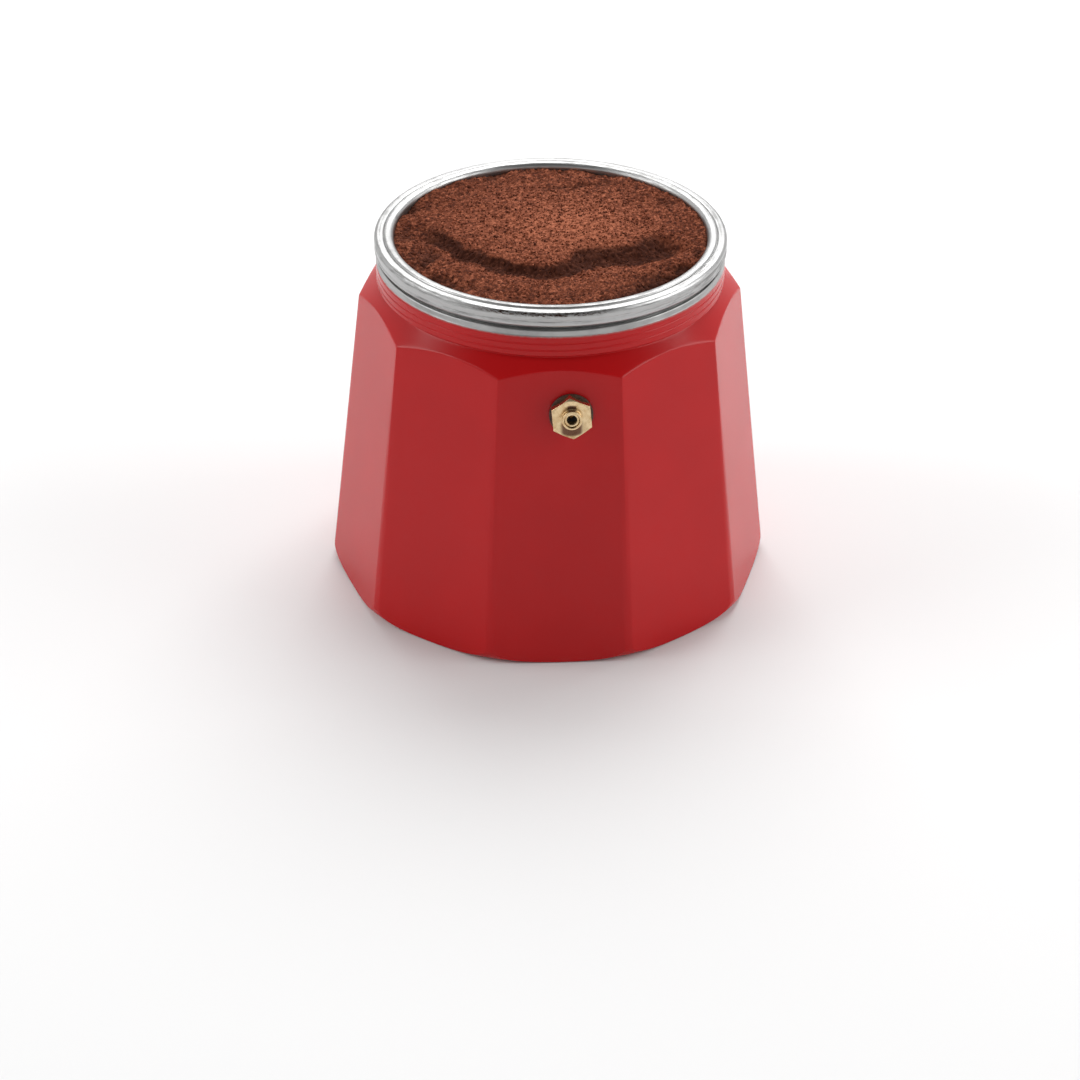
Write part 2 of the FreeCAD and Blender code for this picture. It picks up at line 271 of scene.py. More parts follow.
@dataclass(frozen=True)
class Polygon:
    """A regular polygon with rounded corners, seen as a reach for each direction.

    Attributes:
        sides: Number of flats.
        first_flat: Direction of one flat's middle, in degrees.
        rounding: Radius of the corners over the distance of the flats.
    """

    sides: int
    first_flat: float
    rounding: float

    @property
    def half(self) -> float:
        """Half the angle of one side, in radians."""
        return math.pi / self.sides

    @property
    def flat_end(self) -> float:
        """Angle from a flat's middle to where its corner rounding starts, in radians."""
        return math.atan((1.0 - self.rounding) * math.tan(self.half))

    def angles(self, per_flat: int, per_corner: int) -> np.ndarray:
        """Directions of the columns: even on each flat, close together at its ends and round its corners.

        Args:
            per_flat: Columns across a flat.
            per_corner: Columns inside a corner's rounding.

        Returns:
            The angles in radians, rising once round from the middle of one corner on.
        """
        ends = self.flat_end
        across = np.arctan(np.tan(ends) * np.linspace(-1.0, 1.0, per_flat))
        guards = ends - (self.half - ends) * np.array([0.5, 1.5, 4.0])
        round_part = np.linspace(ends, 2 * self.half - ends, per_corner + 2)[1:-1]
        local = np.sort(np.concatenate([across, guards, -guards, round_part]))
        flats = math.radians(self.first_flat) + 2 * self.half * np.arange(self.sides)
        return (flats[:, None] + local[None, :]).reshape(-1)

    def reach(self, angles: np.ndarray) -> np.ndarray:
        """Distance of the outline in each direction, where the flats are 1 from the middle.

        On a flat it is 1 / cos(a), a being the angle from the flat's middle. Round a corner it is the far
        crossing of the ray with the corner's circle: c cos(b) + sqrt(q^2 - c^2 sin(b)^2).

        Args:
            angles: Directions in radians.

        Returns:
            One factor for each direction.
        """
        turn = 2 * self.half
        local = np.mod(angles - math.radians(self.first_flat) + self.half, turn) - self.half
        middle = (1.0 - self.rounding) / math.cos(self.half)
        beside = self.half - np.abs(local)
        inside = np.maximum(self.rounding**2 - (middle * np.sin(beside)) ** 2, 0.0)
        rounded = middle * np.cos(beside) + np.sqrt(inside)
        return np.where(np.abs(local) <= self.flat_end, 1.0 / np.cos(local), rounded)


def crossing(
    first: np.ndarray, last: np.ndarray, gap: Callable[[np.ndarray], np.ndarray], rounds: int = 40
) -> np.ndarray:
    """Halves an interval again and again to find where gap, a rising function, passes through 0.

    Args:
        first: Value where gap is negative, one for each column.
        last: Value where gap is positive.
        gap: The function, from an array to an array.
        rounds: Number of halvings.

    Returns:
        The crossing for each column.
    """
    low, high = np.array(first, float), np.array(last, float)
    for _ in range(rounds):
        middle = (low + high) / 2
        below = gap(middle) < 0
        low, high = np.where(below, middle, low), np.where(below, high, middle)
    return (low + high) / 2


@dataclass
class Clouds:
    """Seeded random heights over a plane, from a square lattice that repeats."""

    seed: int
    count: int = 257
    lattice: np.ndarray = field(init=False)
    shifts: np.ndarray = field(init=False)

    def __post_init__(self) -> None:
        """Draws the random lattices."""
        chance = np.random.default_rng(self.seed)
        self.lattice = chance.uniform(-1.0, 1.0, (self.count, self.count))
        self.shifts = chance.uniform(0.0, 1.0, (self.count, self.count, 3))

    def at(self, numbers: np.ndarray, i: np.ndarray, j: np.ndarray) -> np.ndarray:
        """The numbers at lattice points i and j, which wrap round past the last."""
        return numbers[np.mod(i, self.count), np.mod(j, self.count)]

    def smooth(self, x: np.ndarray, y: np.ndarray, wavelength: float) -> np.ndarray:
        """Heights from -1 to 1: random numbers on a square lattice, eased between its points.

        Args:
            x: Places along x.
            y: Places along y.
            wavelength: Distance between lattice points.

        Returns:
            One height for each place.
        """
        u, v = x / wavelength + 101.3, y / wavelength + 57.7
        i, j = np.floor(u).astype(int), np.floor(v).astype(int)
        s, t = smooth_step(u - i, 0.0, 1.0), smooth_step(v - j, 0.0, 1.0)
        low = self.at(self.lattice, i, j) * (1 - s) + self.at(self.lattice, i + 1, j) * s
        high = self.at(self.lattice, i, j + 1) * (1 - s) + self.at(self.lattice, i + 1, j + 1) * s
        return low * (1 - t) + high * t

    def layered(self, x: np.ndarray, y: np.ndarray, wavelength: float, layers: int) -> np.ndarray:
        """Smooth heights at several wavelengths, each half as long and half as high as the one before.

        Args:
            x: Places along x.
            y: Places along y.
            wavelength: The longest wavelength.
            layers: How many there are.

        Returns:
            One height for each place.
        """
        total = np.zeros_like(x)
        for layer in range(layers):
            total += self.smooth(x + 7.1 * layer, y - 3.3 * layer, wavelength / 2**layer) / 2**layer
        return total

    def pebbles(self, x: np.ndarray, y: np.ndarray, size: float) -> tuple[np.ndarray, np.ndarray]:
        """Packed grains: each place belongs to the nearest of one random point in each lattice square.

        Args:
            x: Places along x.
            y: Places along y.
            size: Mean distance between grains.

        Returns:
            The height of each place on its grain, 1 at the middle and 0 at 0.6 of the spacing, and a random
            number from 0 to 1 that all places on one grain share.
        """
        u, v = x / size + 61.7, y / size + 88.9
        i, j = np.floor(u).astype(int), np.floor(v).astype(int)
        nearest, tone = np.full(x.shape, 9.0), np.zeros(x.shape)
        for di in (-1, 0, 1):
            for dj in (-1, 0, 1):
                shift = self.at(self.shifts, i + di, j + dj)
                away = (i + di + shift[..., 0] - u) ** 2 + (j + dj + shift[..., 1] - v) ** 2
                closer = away < nearest
                nearest = np.where(closer, away, nearest)
                tone = np.where(closer, shift[..., 2], tone)
        return np.clip(1.0 - nearest / 0.6**2, 0.0, 1.0), tone


def add_piece(
    name: str,
    skin: Skin,
    body: Body,
    finish: bpy.types.Material,
    replaces: Iterable[str] = (),
    crease: float | None = CREASE,
) -> bpy.types.Object:
    """Makes a mesh object from a skin and ties it to the frame.

    Args:
        name: Name of the piece.
        skin: Its surface in millimetres.
        body: The body that it moves with.
        finish: Its material.
        replaces: Names of the CAD nodes that it stands for.
        crease: Edges that turn by more degrees than this stay sharp; None shades every face flat.

    Returns:
        The new object.
    """
    mesh = bpy.data.meshes.new(name)
    faces = [skin.quads, skin.triangles]
    corners = np.concatenate([f.reshape(-1) for f in faces]).astype(np.int32)
    counts = np.concatenate([np.full(len(f), f.shape[1]) for f in faces]).astype(np.int32)
    starts = np.concatenate([[0], np.cumsum(counts)[:-1]]).astype(np.int32)
    mesh.vertices.add(len(skin.points))
    mesh.vertices.foreach_set("co", (skin.points * MM).astype(np.float32).reshape(-1))
    mesh.loops.add(len(corners))
    mesh.loops.foreach_set("vertex_index", corners)
    mesh.polygons.add(len(counts))
    mesh.polygons.foreach_set("loop_start", starts)
    mesh.polygons.foreach_set("use_smooth", np.full(len(counts), crease is not None))
    mesh.update(calc_edges=True)
    for mark, values in skin.marks.items():
        kind = "FLOAT_VECTOR" if values.ndim == 2 else "FLOAT"
        attribute = mesh.attributes.new(mark, kind, "POINT")
        key = "vector" if values.ndim == 2 else "value"
        attribute.data.foreach_set(key, values.astype(np.float32).reshape(-1))
    mesh.validate()
    if crease is not None:
        mesh.set_sharp_from_angle(angle=math.radians(crease))
    mesh.materials.append(finish)
    piece = bpy.data.objects.new(name, mesh)
    bpy.context.scene.collection.objects.link(piece)
    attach(piece, body.value)
    if replaces:
        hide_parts(*replaces)
    LOG.info("%s: %d faces, rides on %s", name, len(mesh.polygons), body.value)
    return piece


def dress_node(node: str, finish: bpy.types.Material) -> None:
    """Gives a CAD node that stays visible its material.

    Args:
        node: Name of the node.
        finish: The material.
    """
    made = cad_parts[node]
    if not made.material_slots:
        made.data.materials.append(finish)
    for slot in made.material_slots:
        slot.material = finish
    LOG.info("%s: CAD node, dressed in %s", node, finish.name)


# ---- materials -------------------------------------------------------------------------------------


def shaded(colour: Colour, share: float) -> Colour:
    """A colour with each of its parts times share."""
    return tuple(part * share for part in colour)


class Wire:
    """A number on its way through a material; arithmetic on it adds Math nodes."""

    def __init__(self, recipe: "Recipe", socket: bpy.types.NodeSocket) -> None:
        """Keeps the socket and the recipe that it belongs to."""
        self.recipe = recipe
        self.socket = socket

    def math(self, operation: str, *values: "Wire | float") -> "Wire":
        """One Math node on these values."""
        made = self.recipe.node("ShaderNodeMath", {"operation": operation}, dict(enumerate(values)))
        return Wire(self.recipe, made.outputs[0])

    def __add__(self, other: "Wire | float") -> "Wire":
        """Self plus other."""
        return self.math("ADD", self, other)

    def __radd__(self, other: float) -> "Wire":
        """Other plus self."""
        return self.math("ADD", other, self)

    def __sub__(self, other: "Wire | float") -> "Wire":
        """Self minus other."""
        return self.math("SUBTRACT", self, other)

    def __rsub__(self, other: float) -> "Wire":
        """Other minus self."""
        return self.math("SUBTRACT", other, self)

    def __mul__(self, other: "Wire | float") -> "Wire":
        """Self times other."""
        return self.math("MULTIPLY", self, other)

    def __rmul__(self, other: float) -> "Wire":
        """Other times self."""
        return self.math("MULTIPLY", other, self)

    def lesser(self, other: "Wire | float") -> "Wire":
        """The smaller of the two."""
        return self.math("MINIMUM", self, other)

    def root(self) -> "Wire":
        """Its square root."""
        return self.math("SQRT", self)

    def size(self) -> "Wire":
        """Its distance from 0."""
        return self.math("ABSOLUTE", self)

    def rise(self, low: float, high: float) -> "Wire":
        """Smooth step from 0 at low to 1 at high, which may be the lower number.

        Args:
            low: Where it is 0.
            high: Where it is 1.

        Returns:
            The step.
        """
        made = self.recipe.node(
            "ShaderNodeMapRange",
            {"interpolation_type": "SMOOTHSTEP"},
            {"Value": self, "From Min": low, "From Max": high},
        )
        return Wire(self.recipe, made.outputs[0])


class Recipe:
    """The node tree of one material or world, written as expressions."""

    def __init__(self, name: str, world: bool = False) -> None:
        """Starts an empty node tree.

        Args:
            name: Name of the material or world.
            world: True for a world.
        """
        self.holder = (bpy.data.worlds if world else bpy.data.materials).new(name)
        self.holder.use_nodes = True
        self.tree = self.holder.node_tree
        self.tree.nodes.clear()

    def node(
        self, kind: str, settings: dict | None = None, inputs: dict | None = None
    ) -> bpy.types.Node:
        """Adds any node.

        Args:
            kind: Blender's name of the node's type.
            settings: Properties by name; "stops" holds a ramp's (position, colour) pairs.
            inputs: Values, wires or sockets by the input's name or number.

        Returns:
            The new node.
        """
        made = self.tree.nodes.new(kind)
        for key, value in (settings or {}).items():
            if key == "stops":
                for place, (position, colour) in enumerate(value):
                    stops = made.color_ramp.elements
                    stop = stops[place] if place < 2 else stops.new(position)
                    stop.position = position
                    stop.color = (*colour, 1.0)
            else:
                setattr(made, key, value)
        for key, value in (inputs or {}).items():
            value = value.socket if isinstance(value, Wire) else value
            if isinstance(value, bpy.types.NodeSocket):
                self.tree.links.new(value, made.inputs[key])
            else:
                made.inputs[key].default_value = value
        return made

    def place(self) -> bpy.types.NodeSocket:
        """Position on the object.

        Returns:
            A vector in millimetres.
        """
        found = self.node("ShaderNodeTexCoord").outputs["Object"]
        return self.node(
            "ShaderNodeVectorMath", {"operation": "SCALE"}, {0: found, "Scale": 1.0 / MM}
        ).outputs[0]

    def mark(self, name: str) -> bpy.types.Node:
        """Reads a named attribute of the mesh."""
        return self.node("ShaderNodeAttribute", {"attribute_name": name, "attribute_type": "GEOMETRY"})

    def parts(self, vector: bpy.types.NodeSocket) -> tuple[Wire, Wire, Wire]:
        """The three numbers of a vector."""
        made = self.node("ShaderNodeSeparateXYZ", inputs={0: vector})
        return tuple(Wire(self, made.outputs[k]) for k in range(3))

    def join(self, x: Wire | float, y: Wire | float, z: Wire | float) -> bpy.types.NodeSocket:
        """A vector from three numbers."""
        return self.node("ShaderNodeCombineXYZ", inputs={0: x, 1: y, 2: z}).outputs[0]

    def noise(
        self,
        vector: bpy.types.NodeSocket,
        wavelength: float,
        detail: float = 2.0,
        roughness: float = 0.5,
    ) -> Wire:
        """Cloudy numbers about 0.5.

        Args:
            vector: Where the cloud is read.
            wavelength: Size of its lumps in millimetres.
            detail: How many finer layers it has.
            roughness: How strong the finer layers are.

        Returns:
            The numbers.
        """
        made = self.node(
            "ShaderNodeTexNoise",
            inputs={
                "Vector": vector,
                "Scale": 1.0 / wavelength,
                "Detail": detail,
                "Roughness": roughness,
            },
        )
        return Wire(self, made.outputs[0])

    def cells(self, vector: bpy.types.NodeSocket, size: float) -> bpy.types.NodeSocket:
        """Packed cells of about this many millimetres, each in its own random colour."""
        made = self.node("ShaderNodeTexVoronoi", inputs={"Vector": vector, "Scale": 1.0 / size})
        return made.outputs["Color"]

    def mix(
        self,
        share: Wire | float,
        first: bpy.types.NodeSocket | Colour,
        second: bpy.types.NodeSocket | Colour,
    ) -> bpy.types.NodeSocket:
        """Mixes two colours.

        Args:
            share: 0 gives the first, 1 the second.
            first: A colour or a socket.
            second: A colour or a socket.

        Returns:
            The mixed colour's socket.
        """
        first, second = ((*c, 1.0) if isinstance(c, tuple) else c for c in (first, second))
        inputs = {0: share, 6: first, 7: second}
        return self.node("ShaderNodeMix", {"data_type": "RGBA"}, inputs).outputs[2]

    def bump(self, height: Wire, depth: float) -> bpy.types.NodeSocket:
        """A normal that is bent as if the surface rose by height times depth in millimetres."""
        inputs = {"Height": height, "Distance": depth * MM, "Strength": 1.0}
        return self.node("ShaderNodeBump", inputs=inputs).outputs[0]

    def finish(self, **inputs: object) -> bpy.types.Material:
        """Closes the recipe with a Principled shader.

        Args:
            inputs: Values or wires by the input's name, with _ for spaces.

        Returns:
            The material.
        """
        named = {key.replace("_", " "): value for key, value in inputs.items()}
        shader = self.node("ShaderNodeBsdfPrincipled", inputs=named)
        self.node("ShaderNodeOutputMaterial", inputs={"Surface": shader.outputs[0]})
        return self.holder


@dataclass(frozen=True)
class LacqueredCasting:
    """Red lacquer over cast aluminium, which is bare inside and on the lip.

    The middle of the wall is two straight lines in (r, z), one low and one high. The lacquer lies outside
    both of them and below the paint line.
    """

    red: Colour = (0.44, 0.0055, 0.0068)
    red_shade: float = 0.93
    film: Colour = (0.36, 0.16, 0.15)
    film_share: float = 0.75
    film_end: Span = (0.55, 0.05)
    metal: Colour = (0.40, 0.40, 0.395)
    metal_shade: float = 0.72
    paint_top: float = 83.65
    paint_wander: float = 0.3
    paint_edge: Span = (-0.04, 0.1)
    wall_top: float = 78.0
    wall_top_r: float = 40.6
    wall_slope: float = 0.25
    wall_low: float = 9.5
    wall_low_r: float = 50.3
    wall_lean: float = 0.12
    wall_wander: float = 0.5
    wall_edge: Span = (-0.05, 0.05)
    specular: float = 0.25
    relief: float = 0.03

    def outside(self, r: Wire, z: Wire, ragged: Wire) -> Wire:
        """1 outside the middle of the wall and 0 inside it.

        Args:
            r: Radius.
            z: Height.
            ragged: Noise about 0, which makes the edge uneven.

        Returns:
            The share of the outside.
        """
        high_wall = self.wall_top_r + (self.wall_top - z) * self.wall_slope
        low_wall = self.wall_low_r - (z - self.wall_low) * self.wall_lean
        return (r - high_wall.lesser(low_wall) + ragged * self.wall_wander).rise(*self.wall_edge)

    def make(self) -> bpy.types.Material:
        """Lacquer outside and below the paint line, thin where it ends, and stained, gritty metal elsewhere.

        Returns:
            The material.
        """
        recipe = Recipe("red_lacquer_on_cast_aluminium")
        here = recipe.place()
        x, y, z = recipe.parts(here)
        r = (x * x + y * y).root()
        ragged = recipe.noise(here, 1.1, 3.0) - 0.5
        line = self.paint_top + ragged * self.paint_wander
        paint = self.outside(r, z, ragged) * (line - z).rise(*self.paint_edge)
        thin = (line - z).rise(*self.film_end) * paint
        cloud = recipe.noise(here, 22.0, 2.0)
        red = recipe.mix(cloud.rise(0.3, 0.7), self.red, shaded(self.red, self.red_shade))
        coated = recipe.mix(thin * self.film_share, red, self.film)
        stain = recipe.noise(here, 9.0, 4.0, 0.6)
        bare = recipe.mix(stain.rise(0.35, 0.75), self.metal, shaded(self.metal, self.metal_shade))
        grit = recipe.noise(here, 0.5, 3.0, 0.6)
        turning_marks = recipe.noise(recipe.join(x * 0.02, r * 5.0, z * 5.0), 1.0, 2.0)
        height = (grit * 0.5 + turning_marks * 0.5) * (1.0 - paint)
        return recipe.finish(
            Base_Color=recipe.mix(paint, bare, coated),
            Metallic=1.0 - paint,
            Roughness=(0.30 + stain * 0.22) * (1.0 - paint) + paint * (0.2 + cloud * 0.05),
            Specular_IOR_Level=self.specular,
            Normal=recipe.bump(height, self.relief),
        )


@dataclass(frozen=True)
class SpunAluminium:
    """Sheet aluminium with fine marks round the axis, and coffee dust on the front of the rim if marked."""

    name: str = "spun_aluminium"
    metal: Colour = (0.44, 0.44, 0.437)
    stain: Colour = (0.15, 0.148, 0.145)
    stain_share: float = 0.75
    stain_edge: Span = (0.47, 0.64)
    relief: float = 0.06
    marked: bool = True
    dust: Colour = (0.05, 0.022, 0.014)
    dust_front: Span = (24.0, 38.0)
    dust_left: float = 4.0
    dust_sides: Span = (19.0, 9.0)
    dust_low: Span = (88.9, 89.2)
    dust_high: Span = (89.95, 89.7)
    dust_r: Span = (41.2, 41.5)
    fleck_edge: Span = (0.44, 0.56)

    def dusted(
        self, recipe: Recipe, place: tuple[Wire, Wire, Wire], r: Wire, clean: bpy.types.NodeSocket
    ) -> bpy.types.NodeSocket:
        """Adds flecks of dust on the rim's upper edge, in front and a little to the left.

        Args:
            recipe: The recipe that it adds to.
            place: Position as x, y and z.
            r: Radius.
            clean: Colour without dust.

        Returns:
            Colour with dust.
        """
        x, y, z = place
        front = (0.0 - y).rise(*self.dust_front) * (x + self.dust_left).size().rise(*self.dust_sides)
        band = z.rise(*self.dust_low) * z.rise(*self.dust_high) * r.rise(*self.dust_r)
        flecks = recipe.noise(recipe.join(x * 0.8, y * 0.8, z * 3.0), 0.7, 4.0, 0.7).rise(*self.fleck_edge)
        return recipe.mix(front * band * flecks, clean, self.dust)

    def make(self) -> bpy.types.Material:
        """Streaks that follow the radius and height, and change slowly round the axis.

        Returns:
            The material.
        """
        recipe = Recipe(self.name)
        x, y, z = place = recipe.parts(recipe.place())
        r = (x * x + y * y).root()
        fine = recipe.noise(recipe.join(x * 0.09 + r * 1.9, y * 0.09, z * 1.9), 0.5, 3.0, 0.6)
        long_marks = recipe.noise(recipe.join(x * 0.03 + r * 1.3, y * 0.03, z * 1.3), 1.0, 3.0, 0.55)
        grime = recipe.noise(recipe.join(x * 0.35, y * 0.35, z * 2.4), 1.5, 4.0, 0.65)
        worn = (long_marks * 0.6 + grime * 0.4).rise(*self.stain_edge)
        colour = recipe.mix(worn * self.stain_share, self.metal, self.stain)
        return recipe.finish(
            Base_Color=self.dusted(recipe, place, r, colour) if self.marked else colour,
            Metallic=1.0,
            Roughness=0.24 + fine * 0.16 + worn * 0.14,
            Normal=recipe.bump(fine * 0.7 + long_marks * 0.8, self.relief),
        )


@dataclass(frozen=True)
class PaintedShadePatch:
    """A patch of painted shade and dark reflection on the valve's face, fading from 0 to 1 over each of three
    spans.

    Attributes:
        away: Height over or under the middle.
        aside: Distance to either side.
        radius: Distance from the valve's axis.
    """

    away: Span
    aside: Span
    radius: Span


@dataclass(frozen=True)
class TurnedBrass:
    """Yellow brass with turning marks round the valve's axis."""

    brass: Colour = (0.78, 0.60, 0.36)
    tarnish: Colour = (0.56, 0.38, 0.19)
    # dark: painted shade and dark reflection, laid on the face round the nipple.
    dark: Colour = (0.11, 0.038, 0.028)
    painted_shade_share: float = 0.88
    # Painted shade: the almost black colour laid inside the nipple's hole.
    bore_shade: Colour = (0.012, 0.007, 0.006)
    middle: Point = (2.6, 65.2)
    above: PaintedShadePatch = PaintedShadePatch((0.2, 0.8), (1.3, 0.8), (3.6, 3.2))
    below: PaintedShadePatch = PaintedShadePatch((0.2, 1.0), (2.9, 1.9), (4.6, 3.9))
    face_from_r: Span = (2.34, 2.55)
    face_depth: Span = (2.6, 2.8)
    bore_r: Span = (1.26, 1.16)
    bore_mouth: Span = (3.62, 3.12)
    bore_bottom: Span = (0.4, 1.0)
    relief: float = 0.012

    def make(self) -> bpy.types.Material:
        """Marks follow the radius from the valve's axis, and tarnish clouds the metal.

        The face is painted dark brown in two patches, above and below the nipple, as painted shade and dark
        reflection, and the inside of the nipple's hole is painted almost black as painted shade. The "turned"
        attribute holds the radius from the valve's axis and the place along it.

        Returns:
            The material.
        """
        recipe = Recipe("turned_brass")
        here = recipe.place()
        radius, depth, _ = recipe.parts(recipe.mark("turned").outputs["Vector"])
        rings = recipe.noise(recipe.join(radius * 4.0, depth * 4.0, 0.0), 1.0, 2.0)
        cloud = recipe.noise(here, 1.6, 3.0, 0.6)
        worn = recipe.mix(cloud.rise(0.35, 0.75), self.brass, self.tarnish)
        x, _, z = recipe.parts(here)
        # Painted shade and dark reflection: two dark patches on the face, above and below the nipple.
        aside = (x - self.middle[0]).size()
        over, under = (
            away.rise(*patch.away) * aside.rise(*patch.aside) * radius.rise(*patch.radius)
            for away, patch in ((z - self.middle[1], self.above), (self.middle[1] - z, self.below))
        )
        patches = (over + under) * radius.rise(*self.face_from_r) * depth.rise(*self.face_depth)
        face = recipe.mix(patches * self.painted_shade_share, worn, self.dark)
        # Painted shade: the inside of the nipple's hole is painted almost black.
        deep = depth.rise(*self.bore_mouth) * depth.rise(*self.bore_bottom)
        inside = radius.rise(*self.bore_r) * deep
        return recipe.finish(
            Base_Color=recipe.mix(inside, face, self.bore_shade),
            Metallic=1.0 - inside * 0.8,
            Roughness=0.2 + cloud * 0.12 + inside * 0.3,
            Normal=recipe.bump(rings, self.relief),
        )


@dataclass(frozen=True)
class MattStuff:
    """A dull solid with a mottled colour, such as fibre, rubber or plain wire."""

    name: str
    light: Colour
    dark: Colour
    lumps: float
    roughness: float
    metallic: float = 0.0
    relief: float = 0.02

    def make(self) -> bpy.types.Material:
        """Two colours mixed by a cloud, with a fine relief of the same cloud.

        Returns:
            The material.
        """
        recipe = Recipe(self.name)
        cloud = recipe.noise(recipe.place(), self.lumps, 4.0, 0.6)
        return recipe.finish(
            Base_Color=recipe.mix(cloud.rise(0.3, 0.7), self.light, self.dark),
            Metallic=self.metallic,
            Roughness=self.roughness + cloud * 0.15,
            Normal=recipe.bump(cloud, self.relief),
        )


@dataclass(frozen=True)
class CoffeeGrounds:
    """Roasted coffee, ground to grains whose colours differ."""

    dark: Colour = (0.060, 0.0155, 0.008)
    brown: Colour = (0.165, 0.044, 0.021)
    light: Colour = (0.42, 0.140, 0.074)
    # hollow: painted shade, the dark colour mixed in where the bed lies in a hollow.
    hollow: Colour = (0.036, 0.0105, 0.0062)
    hollow_shade_share: float = 0.82
    dark_at: float = 0.30
    brown_at: float = 0.50
    light_at: float = 0.74
    grain_size: float = 0.55
    speck_size: float = 0.42
    specular: float = 0.06
    relief: float = 0.07

    def make(self) -> bpy.types.Material:
        """Each grain's tone picks a colour from dark to light; the "hollow" mark mixes painted shade into
        hollow places.

        Returns:
            The material.
        """
        recipe = Recipe("ground_coffee")
        here = recipe.place()
        tone = Wire(recipe, recipe.mark("tone").outputs["Fac"])
        # The "hollow" mark is painted shade worked out from the bed's relief.
        depth = Wire(recipe, recipe.mark("hollow").outputs["Fac"])
        speck = recipe.noise(here, self.speck_size, 3.0, 0.75)
        grain = recipe.parts(recipe.cells(here, self.grain_size))[0]
        mixed = tone * 0.42 + speck * 0.38 + grain * 0.2
        stops = ((self.dark_at, self.dark), (self.light_at, self.light), (self.brown_at, self.brown))
        ramp = recipe.node("ShaderNodeValToRGB", {"stops": stops}, {0: mixed}).outputs[0]
        return recipe.finish(
            Base_Color=recipe.mix(depth * self.hollow_shade_share, ramp, self.hollow),
            Roughness=0.7 + speck * 0.2,
            Specular_IOR_Level=self.specular,
            Normal=recipe.bump(speck, self.relief),
        )


# ---- boiler ----------------------------------------------------------------------------------------


@dataclass
class Boiler:
    """Cast boiler with ten leaning facets, a round foot, a sloping shoulder and a threaded neck."""

    finish: bpy.types.Material
    facets: Polygon = Polygon(sides=10, first_flat=-90.0, rounding=0.013)
    floor_corner_r: float = 55.2
    shoulder_corner: Point = (46.55, 73.9)
    shoulder_slope: float = 0.81
    shoulder_depth: float = 12.0
    shoulder_top: Point = (44.0, 75.9)
    neck_foot: Point = (41.4, 78.05)
    neck_r: float = 42.2
    neck_low: float = 78.6
    thread_pitch: float = 1.7
    thread_phase: float = 80.475
    thread_depth: float = 0.13
    thread_width: float = 0.17
    thread_rows: int = 58
    thread_fade: Span = (84.2, 83.0)
    paint_end: float = 83.6
    lip_r: float = 42.05
    mouth_r: float = 39.2
    mouth_low: float = 75.5
    tank_high: Point = (41.3, 72.0)
    tank_low_r: float = 48.5
    floor_z: float = 4.0
    floor_round: float = 5.5
    foot_flat_r: float = 51.3
    foot_round: float = 3.2
    foot_bevel: float = 20.0
    foot_gap: float = 4.0
    recess_r: float = 42.0
    recess: float = 0.8
    edge: float = 0.45
    boss_r: float = 7.5
    boss_depth: float = 5.2
    boss_fillet: tuple[Point, ...] = ((0.15, -3.9), (0.8, -3.2), (1.6, -2.6))
    boss_top: float = -2.0
    valve_hole_r: float = 3.5
    valve_columns: int = 64

    def __post_init__(self) -> None:
        """Takes the height of the lip from the frame."""
        self.lip_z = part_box("boiler")[1].z / MM

    def flat_distance(self, z: np.ndarray | float) -> np.ndarray | float:
        """Distance of the facets from the axis at height z."""
        lean = (self.floor_corner_r - self.shoulder_corner[0]) / self.shoulder_corner[1]
        return (self.floor_corner_r - lean * z) * math.cos(self.facets.half)

    def shoulder_z(self, r: np.ndarray) -> np.ndarray:
        """Height of the shoulder: two straight slopes that meet at shoulder_top, and a third beyond its edge.

        Args:
            r: Radius, one for each column.

        Returns:
            The heights.
        """
        top_r, top_z = self.shoulder_top
        outer = top_z - (r - top_r) * (top_z - self.shoulder_corner[1]) / (self.shoulder_corner[0] - top_r)
        inner = top_z + (top_r - r) * (self.neck_foot[1] - top_z) / (top_r - self.neck_foot[0])
        beyond = self.shoulder_corner[1] - (r - self.shoulder_corner[0]) * self.shoulder_slope
        return np.where(r > self.shoulder_corner[0], beyond, np.where(r > top_r, outer, inner))

    def foot_point(self, degrees: np.ndarray | float) -> tuple[np.ndarray | float, np.ndarray | float]:
        """Point of the foot's round in (r, z): its middle plus its radius along an angle.

        Args:
            degrees: The angle, 0 along +r and -90 straight down.

        Returns:
            The radius and the height.
        """
        angle = np.radians(degrees)
        return (
            self.foot_flat_r + self.foot_round * np.cos(angle),
            self.foot_round + self.foot_round * np.sin(angle),
        )

    def foot_end(self, reach: np.ndarray) -> np.ndarray:
        """Angle in degrees at which the foot's round meets the facets, for each column.

        Args:
            reach: Reach of the facets in each column's direction.

        Returns:
            The angles.
        """

        def out_of_facets(degrees: np.ndarray) -> np.ndarray:
            """How far the round stands out of the facets."""
            r, z = self.foot_point(degrees)
            return r - reach * self.flat_distance(z)

        start = np.full(len(reach), self.foot_bevel - 90.0)
        return crossing(start, np.zeros(len(reach)), out_of_facets)

    def shoulder_edge(self, reach: np.ndarray) -> tuple[np.ndarray, np.ndarray]:
        """Edge (r, z) at which the facets meet the shoulder, for each column.

        Args:
            reach: Reach of the facets in each column's direction.

        Returns:
            The radius and the height.
        """

        def over_shoulder(z: np.ndarray) -> np.ndarray:
            """How far the facet at height z lies over the shoulder."""
            return z - self.shoulder_z(reach * self.flat_distance(z))

        top = np.full(len(reach), self.neck_foot[1])
        z = crossing(top - self.shoulder_depth, top, over_shoulder)
        return reach * self.flat_distance(z), z

    def outline(self, angles: np.ndarray) -> Outline:
        """Outline from the middle of the base, up the outside, over the lip and down to the tank's floor.

        Two edges rise and fall round the pot: where the round foot meets the facets, and where the facets
        meet the shoulder. Each is found for every column, and its row follows it.

        Args:
            angles: Directions of the columns in radians.

        Returns:
            The outline, with both ends on the axis.
        """
        made = Outline(len(angles)).start(0.0, self.recess)
        self.add_outside(made, self.facets.reach(angles))
        self.add_thread(made, angles)
        self.add_inside(made)
        return made

